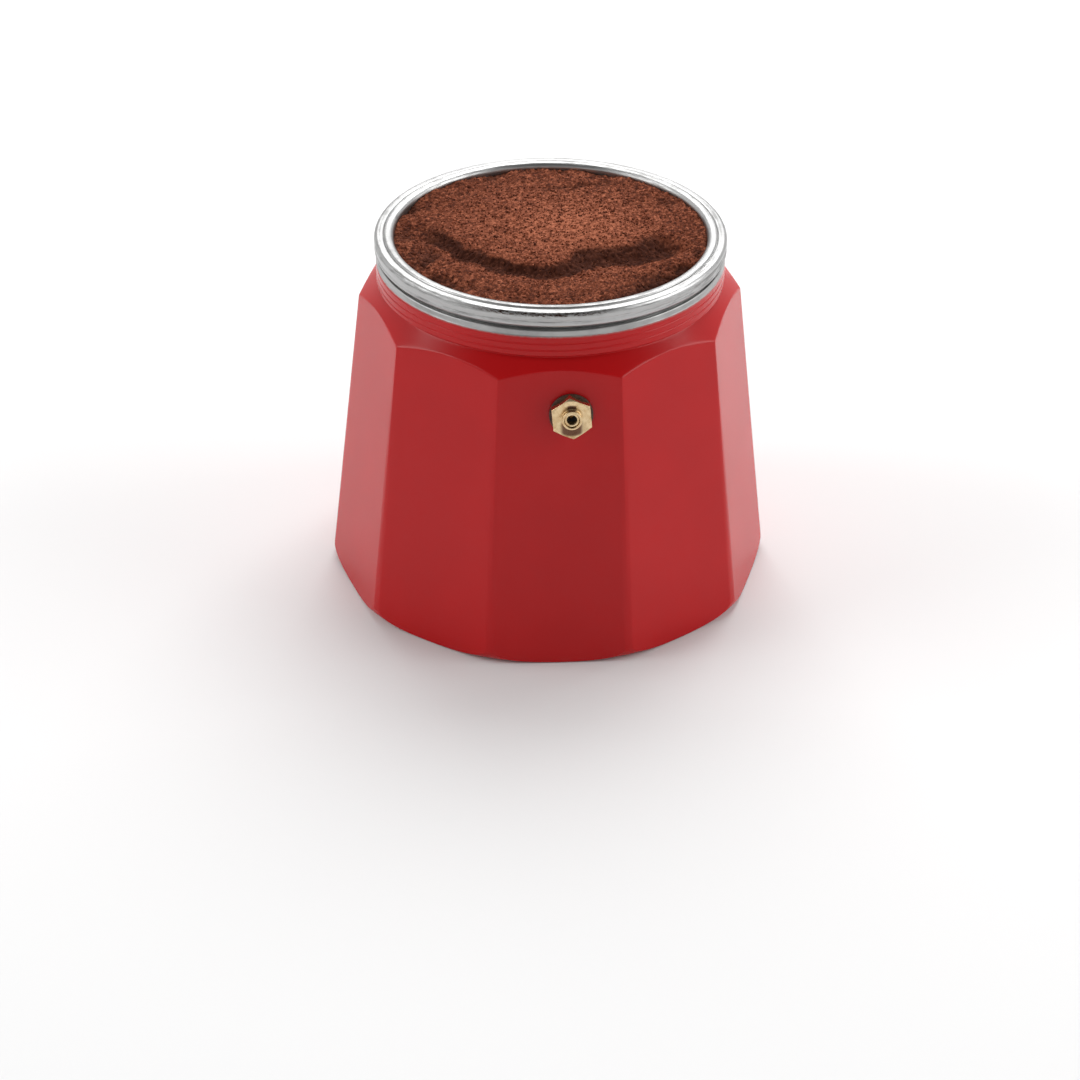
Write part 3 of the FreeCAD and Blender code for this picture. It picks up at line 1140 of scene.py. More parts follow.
    def add_outside(self, made: Outline, reach: np.ndarray) -> None:
        """Adds the recess, the foot with its bevel and round, the facets and the shoulder.

        Args:
            made: The outline that it adds to.
            reach: Reach of the facets in each column's direction.
        """
        foot_end = self.foot_end(reach)
        foot_edge, shoulder_edge = self.foot_point(foot_end), self.shoulder_edge(reach)
        bevel = self.foot_point(self.foot_bevel - 90.0)
        made.line(self.recess_r * 0.5, self.recess)
        made.corner((self.recess_r - self.recess, self.recess), (self.recess_r, 0.0), 0.25, 3)
        made.corner((self.recess_r, 0.0), (self.foot_flat_r, 0.0), 0.25, 3)
        made.corner((self.foot_flat_r, 0.0), bevel, 0.2, 2, 2)
        made.line(*bevel)
        middle = (self.foot_flat_r, self.foot_round)
        made.arc(middle, self.foot_round, self.foot_bevel - 90.0, foot_end - self.foot_gap, 8)
        made.corner(foot_edge, shoulder_edge, self.edge, 5)
        for share, steps in ((0.02, 1), (0.98, 14)):
            made.line(*(e + (s - e) * share for e, s in zip(foot_edge, shoulder_edge)), steps)
        made.corner(shoulder_edge, self.shoulder_top, self.edge, 5)
        made.line(*(0.75 * s + 0.25 * n for s, n in zip(self.shoulder_top, self.neck_foot)), 3)
        made.corner(self.neck_foot, (self.neck_r, self.neck_low), 0.28, 4, 4)

    def add_thread(self, made: Outline, angles: np.ndarray) -> None:
        """Adds the neck, with the groove of the thread pressed into it.

        The groove's middle rises by one pitch for each turn. At a distance d from it the neck is lower by
        depth * exp(-(d / width)^2), and the groove fades out towards both ends of the neck.

        Args:
            made: The outline that it adds to.
            angles: Directions of the columns in radians.
        """
        made.line(self.neck_r - 0.06, self.neck_low)
        turns = angles / FULL_TURN
        for z in np.linspace(self.neck_low + 0.1, self.paint_end, self.thread_rows):
            off = (z - self.thread_phase) / self.thread_pitch - turns
            near = (off - np.round(off)) * self.thread_pitch
            fade = smooth_step(z, self.neck_low, self.neck_low + 0.5) * smooth_step(z, *self.thread_fade)
            groove = self.thread_depth * fade * np.exp(-((near / self.thread_width) ** 2))
            made.line(self.neck_r - groove, z)

    def add_inside(self, made: Outline) -> None:
        """Adds the bare lip, the mouth, the tank's wall, its round and its floor.

        Args:
            made: The outline that it adds to.
        """
        made.corner((self.lip_r, self.paint_end + 0.25), (self.lip_r, self.lip_z), 0.1, 2)
        made.corner((self.lip_r, self.lip_z), (self.mouth_r, self.lip_z), 0.35, 4, 3)
        made.corner((self.mouth_r, self.lip_z), (self.mouth_r, self.mouth_low), 0.4, 4, 2)
        made.corner((self.mouth_r, self.mouth_low), self.tank_high, 0.5, 3, 4)
        floor_middle = (self.tank_low_r - self.floor_round, self.floor_z + self.floor_round)
        made.corner(self.tank_high, (self.tank_low_r, floor_middle[1]), 0.8, 3, 2)
        made.line(self.tank_low_r, floor_middle[1], 10)
        made.arc(floor_middle, self.floor_round, 0.0, -90.0, 8)
        made.line(0.0, self.floor_z, 4)

    def valve_tools(self) -> dict[str, Skin]:
        """Skins about the valve's axis that change the wall: the boss joins it, and then the hole cuts it.

        Returns:
            The skins by the name of their Boolean operation, in order.
        """
        boss = Outline(self.valve_columns).start(0.0, -self.boss_depth)
        boss.corner((self.boss_r, -self.boss_depth), (self.boss_r, -3.0), 0.6, 4)
        for wider, w in self.boss_fillet:
            boss.line(self.boss_r + wider, w)
        boss.line(0.0, self.boss_top)
        hole = Outline(self.valve_columns).start(0.0, -2 * self.boss_depth)
        hole.line(self.valve_hole_r, -2 * self.boss_depth).line(self.valve_hole_r, self.boss_depth)
        hole.line(0.0, self.boss_depth)
        angles = even_angles(self.valve_columns)
        return {"UNION": boss.skin(angles, joined=False), "DIFFERENCE": hole.skin(angles, joined=False)}

    def build(self, seat: "ValveSeat") -> list[bpy.types.Object]:
        """Makes the boiler, with the boss and the hole for the valve cut into its wall.

        Args:
            seat: Place and direction of the safety valve.

        Returns:
            The one new piece.
        """
        angles = self.facets.angles(per_flat=27, per_corner=5)
        skin = self.outline(angles).skin(angles, joined=False)
        piece = add_piece(
            "boiler_shell", skin, Body.BOILER, self.finish, ["boiler"], crease=None
        )
        for operation, tool in self.valve_tools().items():
            cut_with(piece, seat.placed(tool), operation)
        piece.data.polygons.foreach_set("use_smooth", np.ones(len(piece.data.polygons), bool))
        piece.data.set_sharp_from_angle(angle=math.radians(CREASE))
        return [piece]


def cut_with(piece: bpy.types.Object, tool: Skin, operation: str) -> None:
    """Joins a skin to a piece, or cuts it out, and keeps the result as the piece's mesh.

    Args:
        piece: The piece, whose mesh is replaced.
        tool: A closed skin in millimetres.
        operation: UNION or DIFFERENCE.
    """
    mesh = bpy.data.meshes.new("tool")
    faces = tool.quads.tolist() + tool.triangles.tolist()
    mesh.from_pydata((tool.points * MM).tolist(), [], faces)
    cutter = bpy.data.objects.new("tool", mesh)
    bpy.context.scene.collection.objects.link(cutter)
    modifier = piece.modifiers.new("cut", "BOOLEAN")
    modifier.operation = operation
    modifier.object = cutter
    modifier.solver = "EXACT"
    bpy.context.view_layer.update()
    result = bpy.data.meshes.new_from_object(
        piece.evaluated_get(bpy.context.evaluated_depsgraph_get())
    )
    piece.modifiers.remove(modifier)
    old, piece.data = piece.data, result
    name = old.name
    bpy.data.meshes.remove(old)
    result.name = name
    bpy.data.objects.remove(cutter)
    bpy.data.meshes.remove(mesh)


# ---- safety valve ----------------------------------------------------------------------------------


@dataclass
class ValveSeat:
    """Frame of the valve: its z axis runs out of the facet, and its y axis up the facet."""

    boiler: Boiler
    x: float = 2.6
    z: float = 65.0

    def __post_init__(self) -> None:
        """Works out the lean of the facet and the three axes."""
        foot, here = (self.boiler.flat_distance(z) for z in (0.0, self.z))
        lean = math.atan2(foot - here, self.z)
        self.origin = np.array([self.x, -here, self.z])
        self.axes = np.array(
            [
                [1.0, 0.0, 0.0],
                [0.0, math.sin(lean), math.cos(lean)],
                [0.0, -math.cos(lean), math.sin(lean)],
            ]
        )

    def placed(self, skin: Skin) -> Skin:
        """Carries a skin made about Z onto the valve's axis."""
        return skin.placed(self.origin, self.axes)


@dataclass
class SafetyValve:
    """Brass safety valve: washer, hexagonal body with its nipple, sprung piston, rubber seal and cap."""

    seat: ValveSeat
    brass: bpy.types.Material
    fibre: bpy.types.Material
    rubber: bpy.types.Material
    steel: bpy.types.Material
    hexagon: Polygon = Polygon(sides=6, first_flat=65.3, rounding=0.05)
    washer_r: float = 5.15
    washer_hole_r: float = 3.55
    washer: float = 0.8
    washer_gap: float = 0.02
    washer_columns: int = 96
    flat_r: float = 4.525
    head: float = 2.4
    chamfer_drop: float = 0.28
    face_r: float = 4.45
    dish: float = 0.28
    nipple_r: float = 2.35
    nipple: float = 1.0
    nipple_bore_r: float = 1.83
    shank_r: float = 3.48
    shank_end: float = -6.8
    shank_pitch: float = 0.7
    shank_thread: float = 0.3
    shank_thread_top: float = -4.4
    shank_rows: int = 26
    chamber_r: float = 2.3
    chamber_top: float = 2.2
    cap_r: float = 2.6
    cap_top: float = -5.0
    seal_r: float = 1.9
    seal: float = 0.6
    seal_gap: float = 0.01
    seal_columns: int = 48
    spigot_r: float = 0.6
    piston_columns: int = 64
    piston_head_r: float = 2.08
    piston_head: float = 0.8
    stem_r: float = 1.35
    sleeve_r: float = 1.75
    sleeve_low: float = 1.4
    sleeve_recess: float = 0.5
    sleeve_bore_r: float = 1.2
    sleeve_bore: float = 2.1
    vent_r: float = 0.6
    vent_end: float = -0.8
    wire_r: float = 0.16
    spring_r: float = 2.01
    spring_turns: int = 6
    spring_steps: int = 36
    wire_sides: int = 10
    lift: float = 1.2

    def washer_skin(self) -> Skin:
        """Flat ring with soft edges.

        Returns:
            The skin about the valve's axis.
        """
        hole, rim, low, top = self.washer_hole_r, self.washer_r, self.washer_gap, self.washer
        made = Outline(self.washer_columns).start(hole, top / 2)
        made.line(hole, low).corner((rim, low), (rim, top), 0.1, 3)
        made.corner((rim, top), (hole, top), 0.14, 3).line(hole, top)
        return made.skin(even_angles(made.columns), joined=True)

    def body_skin(self) -> Skin:
        """Bored body: chamber, threaded shank, hexagonal head with turned corners, and round nipple.

        A cone falls from the face circle to the corners, so its edge on the flats is an arc; the row of
        that edge is at height top - (r - face_r) * fall for each column.

        Returns:
            The skin about the valve's axis.
        """
        angles = self.hexagon.angles(per_flat=13, per_corner=4)
        flats = self.hexagon.reach(angles) * self.flat_r
        corner_r = self.flat_r / math.cos(self.hexagon.half)
        low, top = self.washer, self.washer + self.head
        fall = self.chamfer_drop / (corner_r - self.face_r)
        arc_z = top - (flats - self.face_r) * fall
        tip = top + self.nipple
        made = Outline(len(angles)).start(self.chamber_r, self.chamber_top)
        made.line(self.chamber_r, self.cap_top, 2).line(self.cap_r, self.cap_top)
        made.corner((self.cap_r, self.shank_end), (self.shank_r, self.shank_end), 0.1, 2)
        made.corner((self.shank_r, self.shank_end), (self.shank_r, 0.0), 0.25, 3)
        turns = angles / FULL_TURN
        for w in np.linspace(self.shank_end + 0.35, self.shank_thread_top, self.shank_rows):
            off = w / self.shank_pitch - turns
            near = np.abs(off - np.round(off)) * 2.0
            groove = self.shank_thread * smooth_step(w, -6.5, -6.2) * smooth_step(near, 1.0, 0.1)
            made.line(self.shank_r - groove, w)
        made.line(self.shank_r, self.shank_thread_top + 0.2).line(self.shank_r, low, 2)
        made.corner((flats, low), (flats, arc_z), 0.12, 3, 2)
        made.corner((flats, arc_z), (self.face_r, top), 0.10, 4, 3)
        made.corner((self.face_r, top), (self.nipple_r, top - self.dish), 0.12, 4)
        made.corner((self.nipple_r, top - self.dish), (self.nipple_r, tip), 0.14, 4, 5)
        made.corner((self.nipple_r, tip), (self.nipple_bore_r, tip), 0.2, 5, 3)
        made.corner((self.nipple_bore_r, tip), (self.nipple_bore_r, self.chamber_top), 0.12, 4)
        made.line(self.nipple_bore_r, self.chamber_top, 4)
        return made.skin(angles, joined=True)

    def piston_skin(self) -> Skin:
        """Piston turned in one piece: spigot, head, stem and hollow sleeve, with a vent down its middle.

        Returns:
            The skin about the valve's axis.
        """
        head_low = self.cap_top + self.seal
        head_top = head_low + self.piston_head
        tip = self.washer + self.head + self.nipple - self.sleeve_recess
        bottom = tip - self.sleeve_bore
        made = Outline(self.piston_columns).start(0.0, self.cap_top)
        made.line(self.spigot_r, self.cap_top).line(self.spigot_r, head_low)
        made.corner((self.piston_head_r, head_low), (self.piston_head_r, head_top), 0.08, 2)
        made.corner((self.piston_head_r, head_top), (self.stem_r, head_top), 0.08, 2)
        made.line(self.stem_r, head_top).line(self.stem_r, self.sleeve_low)
        made.corner((self.sleeve_r, self.sleeve_low), (self.sleeve_r, tip), 0.08, 2)
        made.corner((self.sleeve_r, tip), (self.sleeve_bore_r, tip), 0.14, 4, 3)
        made.corner((self.sleeve_bore_r, tip), (self.sleeve_bore_r, bottom), 0.12, 4)
        made.line(self.sleeve_bore_r, bottom, 3).line(self.vent_r, bottom - 0.3)
        made.line(self.vent_r, self.vent_end).line(0.0, self.vent_end)
        return made.skin(even_angles(made.columns), joined=False)

    def seal_skin(self) -> Skin:
        """Rubber ring with well rounded edges.

        Returns:
            The skin about the valve's axis.
        """
        low, top = self.cap_top + self.seal_gap, self.cap_top + self.seal
        made = Outline(self.seal_columns).start(self.spigot_r, self.cap_top + self.seal / 2)
        made.line(self.spigot_r, low).corner((self.seal_r, low), (self.seal_r, top), 0.2, 3)
        made.corner((self.seal_r, top), (self.spigot_r, top), 0.2, 3).line(self.spigot_r, top)
        return made.skin(even_angles(made.columns), joined=True)

    def spring_skin(self) -> Skin:
        """Round wire on a helix: the wire's circle, in the plane of the axis, moves up as it turns.

        The rise follows the turn, but stands still over the first and last half turn, so that the ends lie
        flat. Both ends of the wire are closed by a fan.

        Returns:
            The skin about the valve's axis.
        """
        low = self.cap_top + self.seal + self.piston_head + self.wire_r
        height = self.chamber_top - self.wire_r - low
        steps, around = self.spring_steps * self.spring_turns, self.wire_sides
        share = np.linspace(0.0, 1.0, steps + 1)
        turn = FULL_TURN * self.spring_turns * share
        dead = 0.5 / self.spring_turns
        rise = low + height * np.clip((share - dead) / (1 - 2 * dead), 0.0, 1.0)
        ring = even_angles(around)
        r = self.spring_r + self.wire_r * np.cos(ring)[None, :]
        z = rise[:, None] + self.wire_r * np.sin(ring)[None, :]
        points = np.stack([r * np.cos(turn)[:, None], r * np.sin(turn)[:, None], z], axis=-1)
        numbers = np.arange(points.shape[0] * around).reshape(-1, around)
        ahead = np.roll(numbers, -1, axis=1)
        quads = np.stack([numbers[:-1], ahead[:-1], ahead[1:], numbers[1:]], axis=-1).reshape(-1, 4)
        ends = points[[0, -1]].mean(axis=1)
        first = np.stack([np.full(around, numbers.size), ahead[0], numbers[0]], axis=-1)
        last = np.stack([np.full(around, numbers.size + 1), numbers[-1], ahead[-1]], axis=-1)
        points = np.concatenate([points.reshape(-1, 3), ends])
        return Skin(points, quads, np.concatenate([first, last])).faced_outwards()

    def build(self) -> list[bpy.types.Object]:
        """Makes the valve's pieces and dresses its cap.

        Returns:
            The new pieces.
        """
        dress_node("valve_cap", self.brass)
        plans = (
            ("valve_washer_ring", self.washer_skin, Body.BOILER, Slot.WASHER, self.fibre, "valve_washer"),
            ("valve_hex_body", self.body_skin, Body.BOILER, Slot.BRASS, self.brass, "valve_body"),
            ("valve_piston_sleeve", self.piston_skin, Body.PISTON, Slot.BRASS, self.brass, "valve_piston"),
            ("valve_seal_ring", self.seal_skin, Body.PISTON, Slot.RUBBER, self.rubber, "valve_seal"),
            ("valve_spring_coil", self.spring_skin, Body.BOILER, Slot.STEEL, self.steel, "valve_spring"),
        )
        made = [
            add_piece(name, self.seat.placed(shape()), body, finish, [node])
            for name, shape, body, slot, finish, node in plans
        ]
        axis = self.seat.axes[2]
        anchor = (self.seat.origin + axis * self.chamber_top) * MM
        length = self.chamber_top - (self.cap_top + self.seal + self.piston_head)
        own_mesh(made[-1], "valve_lift", axis.tolist(), anchor.tolist(), keep=1.0 - self.lift / length)
        return made


# ---- funnel ----------------------------------------------------------------------------------------


@dataclass
class Funnel:
    """Spun aluminium funnel: cup with a rolled rim, cone, riser tube and perforated disc."""

    metal: bpy.types.Material
    plain_metal: bpy.types.Material
    columns: int = 288
    tube_columns: int = 72
    sheet: float = 0.9
    collar_low: float = 52.0
    tube_r: float = 4.8
    tube_bore_r: float = 4.1
    tube_low: float = 8.0
    flange_r: float = 6.0
    flange: float = 0.6
    flange_seat: Point = (6.4, 56.3)
    cone_low: float = 55.4
    cone_high: Point = (37.2, 65.4)
    cone_inside_high: float = 65.84
    ledge: Point = (35.6, 66.2)
    cup_low_r: float = 36.9
    cup_top_r: float = 37.8
    seat_z: float = 85.2
    seat_r: tuple[float, float] = (38.9, 41.0)
    bead_r: float = 42.55
    bead_low: float = 86.0
    bead_round: float = 1.05
    ring_z: float = 90.0
    ring_inner_r: float = 40.45
    groove: Point = (40.2, 89.72)
    rim_top: float = 90.3
    inner_round: float = 1.3

    def cup_skin(self) -> Skin:
        """Cup from the collar up the outside, over the rolled rim and down the inside to the collar.

        Returns:
            The skin.
        """
        bead_middle = self.bead_r - self.bead_round
        cup_foot = (self.cup_low_r + self.sheet, self.ledge[1] + 0.2)
        wall_top = (self.cup_top_r + self.sheet, self.seat_z - 0.3)
        made = Outline(self.columns).start(self.tube_r, self.collar_low + 0.3)
        made.corner((self.tube_r, self.collar_low), (self.tube_r + self.sheet, self.collar_low), 0.2, 2)
        made.corner((self.tube_r + self.sheet, self.collar_low), (self.tube_r + self.sheet, 55.0), 0.2, 2)
        made.corner((self.tube_r + self.sheet, self.cone_low), self.cone_high, 1.0, 4, 2)
        made.corner(self.cone_high, cup_foot, 0.8, 4, 10)
        made.corner(cup_foot, wall_top, 0.5, 3)
        made.corner(wall_top, (self.seat_r[0], self.seat_z), 0.2, 2, 8)
        made.corner((self.seat_r[0], self.seat_z), (self.seat_r[1], self.seat_z), 0.2, 2)
        made.corner((self.seat_r[1], self.seat_z), (self.seat_r[1], self.bead_low), 0.2, 2)
        made.line(self.seat_r[1], self.bead_low - 0.1).line(bead_middle - 0.2, self.bead_low)
        low_middle = (bead_middle, self.bead_low + self.bead_round)
        made.arc(low_middle, self.bead_round, -90.0, -18.0, 7)
        waist = (self.bead_r - 0.16, self.bead_low + 1.75)
        made.corner(waist, (self.bead_r - 0.02, waist[1] + 0.5), 0.3, 4)
        made.line(self.bead_r - 0.02, waist[1] + 0.5).line(self.bead_r, self.ring_z - self.bead_round, 3)
        made.arc((bead_middle, self.ring_z - self.bead_round), self.bead_round, 0.0, 84.0, 9)
        made.line(bead_middle - 0.1, self.ring_z).line(self.ring_inner_r + 0.12, self.ring_z, 3)
        made.corner((self.ring_inner_r, self.ring_z - 0.03), self.groove, 0.08, 3)
        made.line(*self.groove).line(self.groove[0] - 0.08, self.groove[1] + 0.02)
        lip_round = self.rim_top - self.groove[1]
        made.arc((self.groove[0] - lip_round, self.groove[1]), lip_round, 20.0, 90.0, 7)
        inner_middle = (self.cup_top_r + self.inner_round, self.rim_top - self.inner_round)
        made.line(inner_middle[0] + 0.1, self.rim_top, 2)
        made.arc(inner_middle, self.inner_round, 90.0, 180.0, 9)
        made.corner((self.cup_low_r, self.ledge[1]), self.ledge, 0.15, 3, 14)
        made.corner(self.ledge, (self.ledge[0], self.cone_inside_high), 0.12, 3)
        made.corner((self.ledge[0], self.cone_inside_high), self.flange_seat, 0.15, 3)
        made.line(*self.flange_seat, 10).line(self.tube_r, self.flange_seat[1])
        made.line(self.tube_r, self.collar_low + 1.5, 2)
        return made.skin(even_angles(self.columns), joined=True)

    def tube_skin(self) -> Skin:
        """Riser tube with a flange on top and a bevelled lower end.

        Returns:
            The skin.
        """
        seat = self.flange_seat[1]
        made = Outline(self.tube_columns).start(self.tube_bore_r, self.tube_low + 1.0)
        made.line(self.tube_bore_r, self.tube_low + 0.3)
        made.corner((self.tube_bore_r + 0.3, self.tube_low), (self.tube_r, self.tube_low), 0.08, 2)
        made.corner((self.tube_r, self.tube_low), (self.tube_r, seat), 0.12, 3)
        made.line(self.tube_r, seat - 0.2, 8).line(self.tube_r, seat)
        made.corner((self.flange_r, seat), (self.flange_r, seat + self.flange), 0.1, 2)
        made.corner((self.flange_r, seat + self.flange), (self.tube_bore_r, seat + self.flange), 0.2, 3)
        made.corner((self.tube_bore_r, seat + self.flange), (self.tube_bore_r, seat), 0.25, 4)
        made.line(self.tube_bore_r, self.tube_low + 1.5, 8)
        return made.skin(even_angles(made.columns), joined=True)

    def build(self) -> list[bpy.types.Object]:
        """Makes the cup and the tube, and dresses the disc.

        Returns:
            The new pieces.
        """
        dress_node("filter_disc", self.plain_metal)
        cup = add_piece(
            "funnel_spun_cup", self.cup_skin(), Body.FUNNEL, self.metal, ["funnel_cup"]
        )
        tube = add_piece(
            "funnel_riser_tube",
            self.tube_skin(),
            Body.FUNNEL,
            self.plain_metal,
            ["funnel_tube"],
        )
        return [cup, tube]


# ---- ground coffee ---------------------------------------------------------------------------------


def twenty_faced_stone() -> tuple[np.ndarray, np.ndarray]:
    """A regular stone of twenty triangles, with corners at (0, 1, golden ratio) and their kin.

    Returns:
        Its twelve corners, 1 from the middle, and its faces, which point outwards.
    """
    golden = (1 + math.sqrt(5.0)) / 2
    signs = [(s, t * golden) for s in (-1, 1) for t in (-1, 1)]
    corners = np.array(
        [(s, t, 0.0) for s, t in signs] + [(0.0, s, t) for s, t in signs] + [(t, 0.0, s) for s, t in signs]
    ) / math.hypot(1.0, golden)
    close = np.linalg.norm(corners[:, None] - corners[None, :], axis=-1) < 1.2
    faces = np.array(
        [f for f in combinations(range(12), 3) if all(close[i, j] for i, j in combinations(f, 2))]
    )
    a, b, c = (corners[faces[:, k]] for k in range(3))
    inwards = np.einsum("ij,ij->i", np.cross(b - a, c - a), a) <= 0
    return corners, np.where(inwards[:, None], faces[:, [0, 2, 1]], faces)


def turning_matrices(quaternions: np.ndarray) -> np.ndarray:
    """Rotation matrices from quaternions (w, i, j, k), which needn't have unit length.

    Args:
        quaternions: One row for each rotation.

    Returns:
        An array of 3 by 3 matrices.
    """
    w, i, j, k = (quaternions / np.linalg.norm(quaternions, axis=1, keepdims=True)).T
    rows = (
        (1 - 2 * (j * j + k * k), 2 * (i * j - k * w), 2 * (i * k + j * w)),
        (2 * (i * j + k * w), 1 - 2 * (i * i + k * k), 2 * (j * k - i * w)),
        (2 * (i * k - j * w), 2 * (j * k + i * w), 1 - 2 * (i * i + j * j)),
    )
    return np.stack([np.stack(row, axis=-1) for row in rows], axis=1)


@dataclass(frozen=True)
class PressedStep:
    """Curved step pressed into the coffee: a fall from the smooth middle, a bottom, and a rise in front.

    Shares run along the bottom from 0 at its left end to 1 at its right end. The right part is a wider and
    deeper lobe. Each span fades from 0 to 1.

    Attributes:
        bottom: The bottom's line, seen from above.
        start: Share over which the step starts.
        stop: Share over which it stops.
        wander: How far the clouds move it.
        fall: Width of the fall at the left end.
        fall_wider: What the fall gains over wider.
        wider: Share over which it gains it.
        lobe: Share over which the lobe starts.
        lobe_fall: What the fall gains in the lobe.
        rise: Width of the rise.
        depth: Depth of the bottom.
        lobe_depth: What the depth gains in the lobe.
        ridge_height: Height of the ridge in front of the right part.
        ridge_away: Distance of the ridge from the bottom.
        ridge_width: Width of the ridge.
        ridge_start: Share over which the ridge starts.
        shade_fall: How far down the fall the painted shade starts.
        shade_rise: How far down the rise it does.
    """

    bottom: tuple[Point, ...] = (
        (-31.5, 9.0),
        (-29.0, 2.5),
        (-25.6, -4.0),
        (-21.0, -9.6),
        (-15.0, -15.2),
        (-9.5, -18.6),
        (-2.0, -20.2),
        (5.5, -18.4),
        (10.0, -14.2),
        (20.3, -12.2),
        (27.4, -8.0),
        (31.0, -3.0),
    )
    start: Span = (0.0, 0.14)
    stop: Span = (1.0, 0.93)
    wander: float = 1.1
    fall: float = 3.2
    fall_wider: float = 1.2
    wider: Span = (0.2, 0.45)
    lobe: Span = (0.62, 0.74)
    lobe_fall: float = 4.4
    rise: float = 8.5
    depth: float = 2.1
    lobe_depth: float = 0.6
    ridge_height: float = 0.35
    ridge_away: float = 4.6
    ridge_width: float = 2.4
    ridge_start: Span = (0.5, 0.62)
    shade_fall: Span = (0.04, 0.4)
    shade_rise: Span = (0.93, 1.0)

    def from_bottom(self, x: np.ndarray, y: np.ndarray) -> tuple[np.ndarray, np.ndarray]:
        """Where each place lies from the step's bottom, which is a chain of straight runs.

        Args:
            x: Places along x.
            y: Places along y.

        Returns:
            The distance behind the nearest point of the chain (negative in front of it), and how far along
            the chain that point is, from 0 to 1.
        """
        chain = np.array(self.bottom)
        best, behind, along = np.full(x.shape, 1e9), np.zeros(x.shape), np.zeros(x.shape)
        for number, (start, end) in enumerate(zip(chain[:-1], chain[1:])):
            run = end - start
            share = ((x - start[0]) * run[0] + (y - start[1]) * run[1]) / (run @ run)
            share = np.clip(share, 0.0, 1.0)
            dx, dy = x - start[0] - share * run[0], y - start[1] - share * run[1]
            away = np.hypot(dx, dy)
            nearer = away < best
            best = np.where(nearer, away, best)
            behind = np.where(nearer, away * np.sign(run[0] * dy - run[1] * dx), behind)
            along = np.where(nearer, (number + share) / (len(chain) - 1), along)
        return behind, along

    def relief(self, x: np.ndarray, y: np.ndarray, wobble: np.ndarray) -> tuple[np.ndarray, np.ndarray]:
        """Height that the step adds to the bed, and how much painted shade each place in it gets.

        The bed falls to the bottom as 1 - smooth_step(distance behind it), and rises in front the same way.
        The ridge adds height * exp(-(distance from its line / width)^2).

        Args:
            x: Places along x.
            y: Places along y.
            wobble: Clouds from about -1 to 1.

        Returns:
            Height in millimetres, mostly negative, and the painted shade from 0 to 1.
        """
        behind, along = self.from_bottom(x, y)
        strength = smooth_step(along, *self.start) * smooth_step(along, *self.stop)
        lobe = smooth_step(along, *self.lobe)
        width = self.fall + self.fall_wider * smooth_step(along, *self.wider) + self.lobe_fall * lobe
        edge = behind + self.wander * wobble
        fall = 1.0 - smooth_step(edge, 0.0, width)
        rise = 1.0 - smooth_step(-edge, 0.0, self.rise)
        depth = (self.depth + self.lobe_depth * lobe) * strength
        ridge = np.exp(-(((edge + self.ridge_away) / self.ridge_width) ** 2))
        ridge = ridge * smooth_step(along, *self.ridge_start) * strength
        height = self.ridge_height * ridge - depth * np.where(edge >= 0, fall, rise)
        # Painted shade: the step's fall and the bottom of its rise are darkened.
        dark = np.where(edge >= 0, smooth_step(fall, *self.shade_fall), smooth_step(rise, *self.shade_rise))
        return height, strength * dark


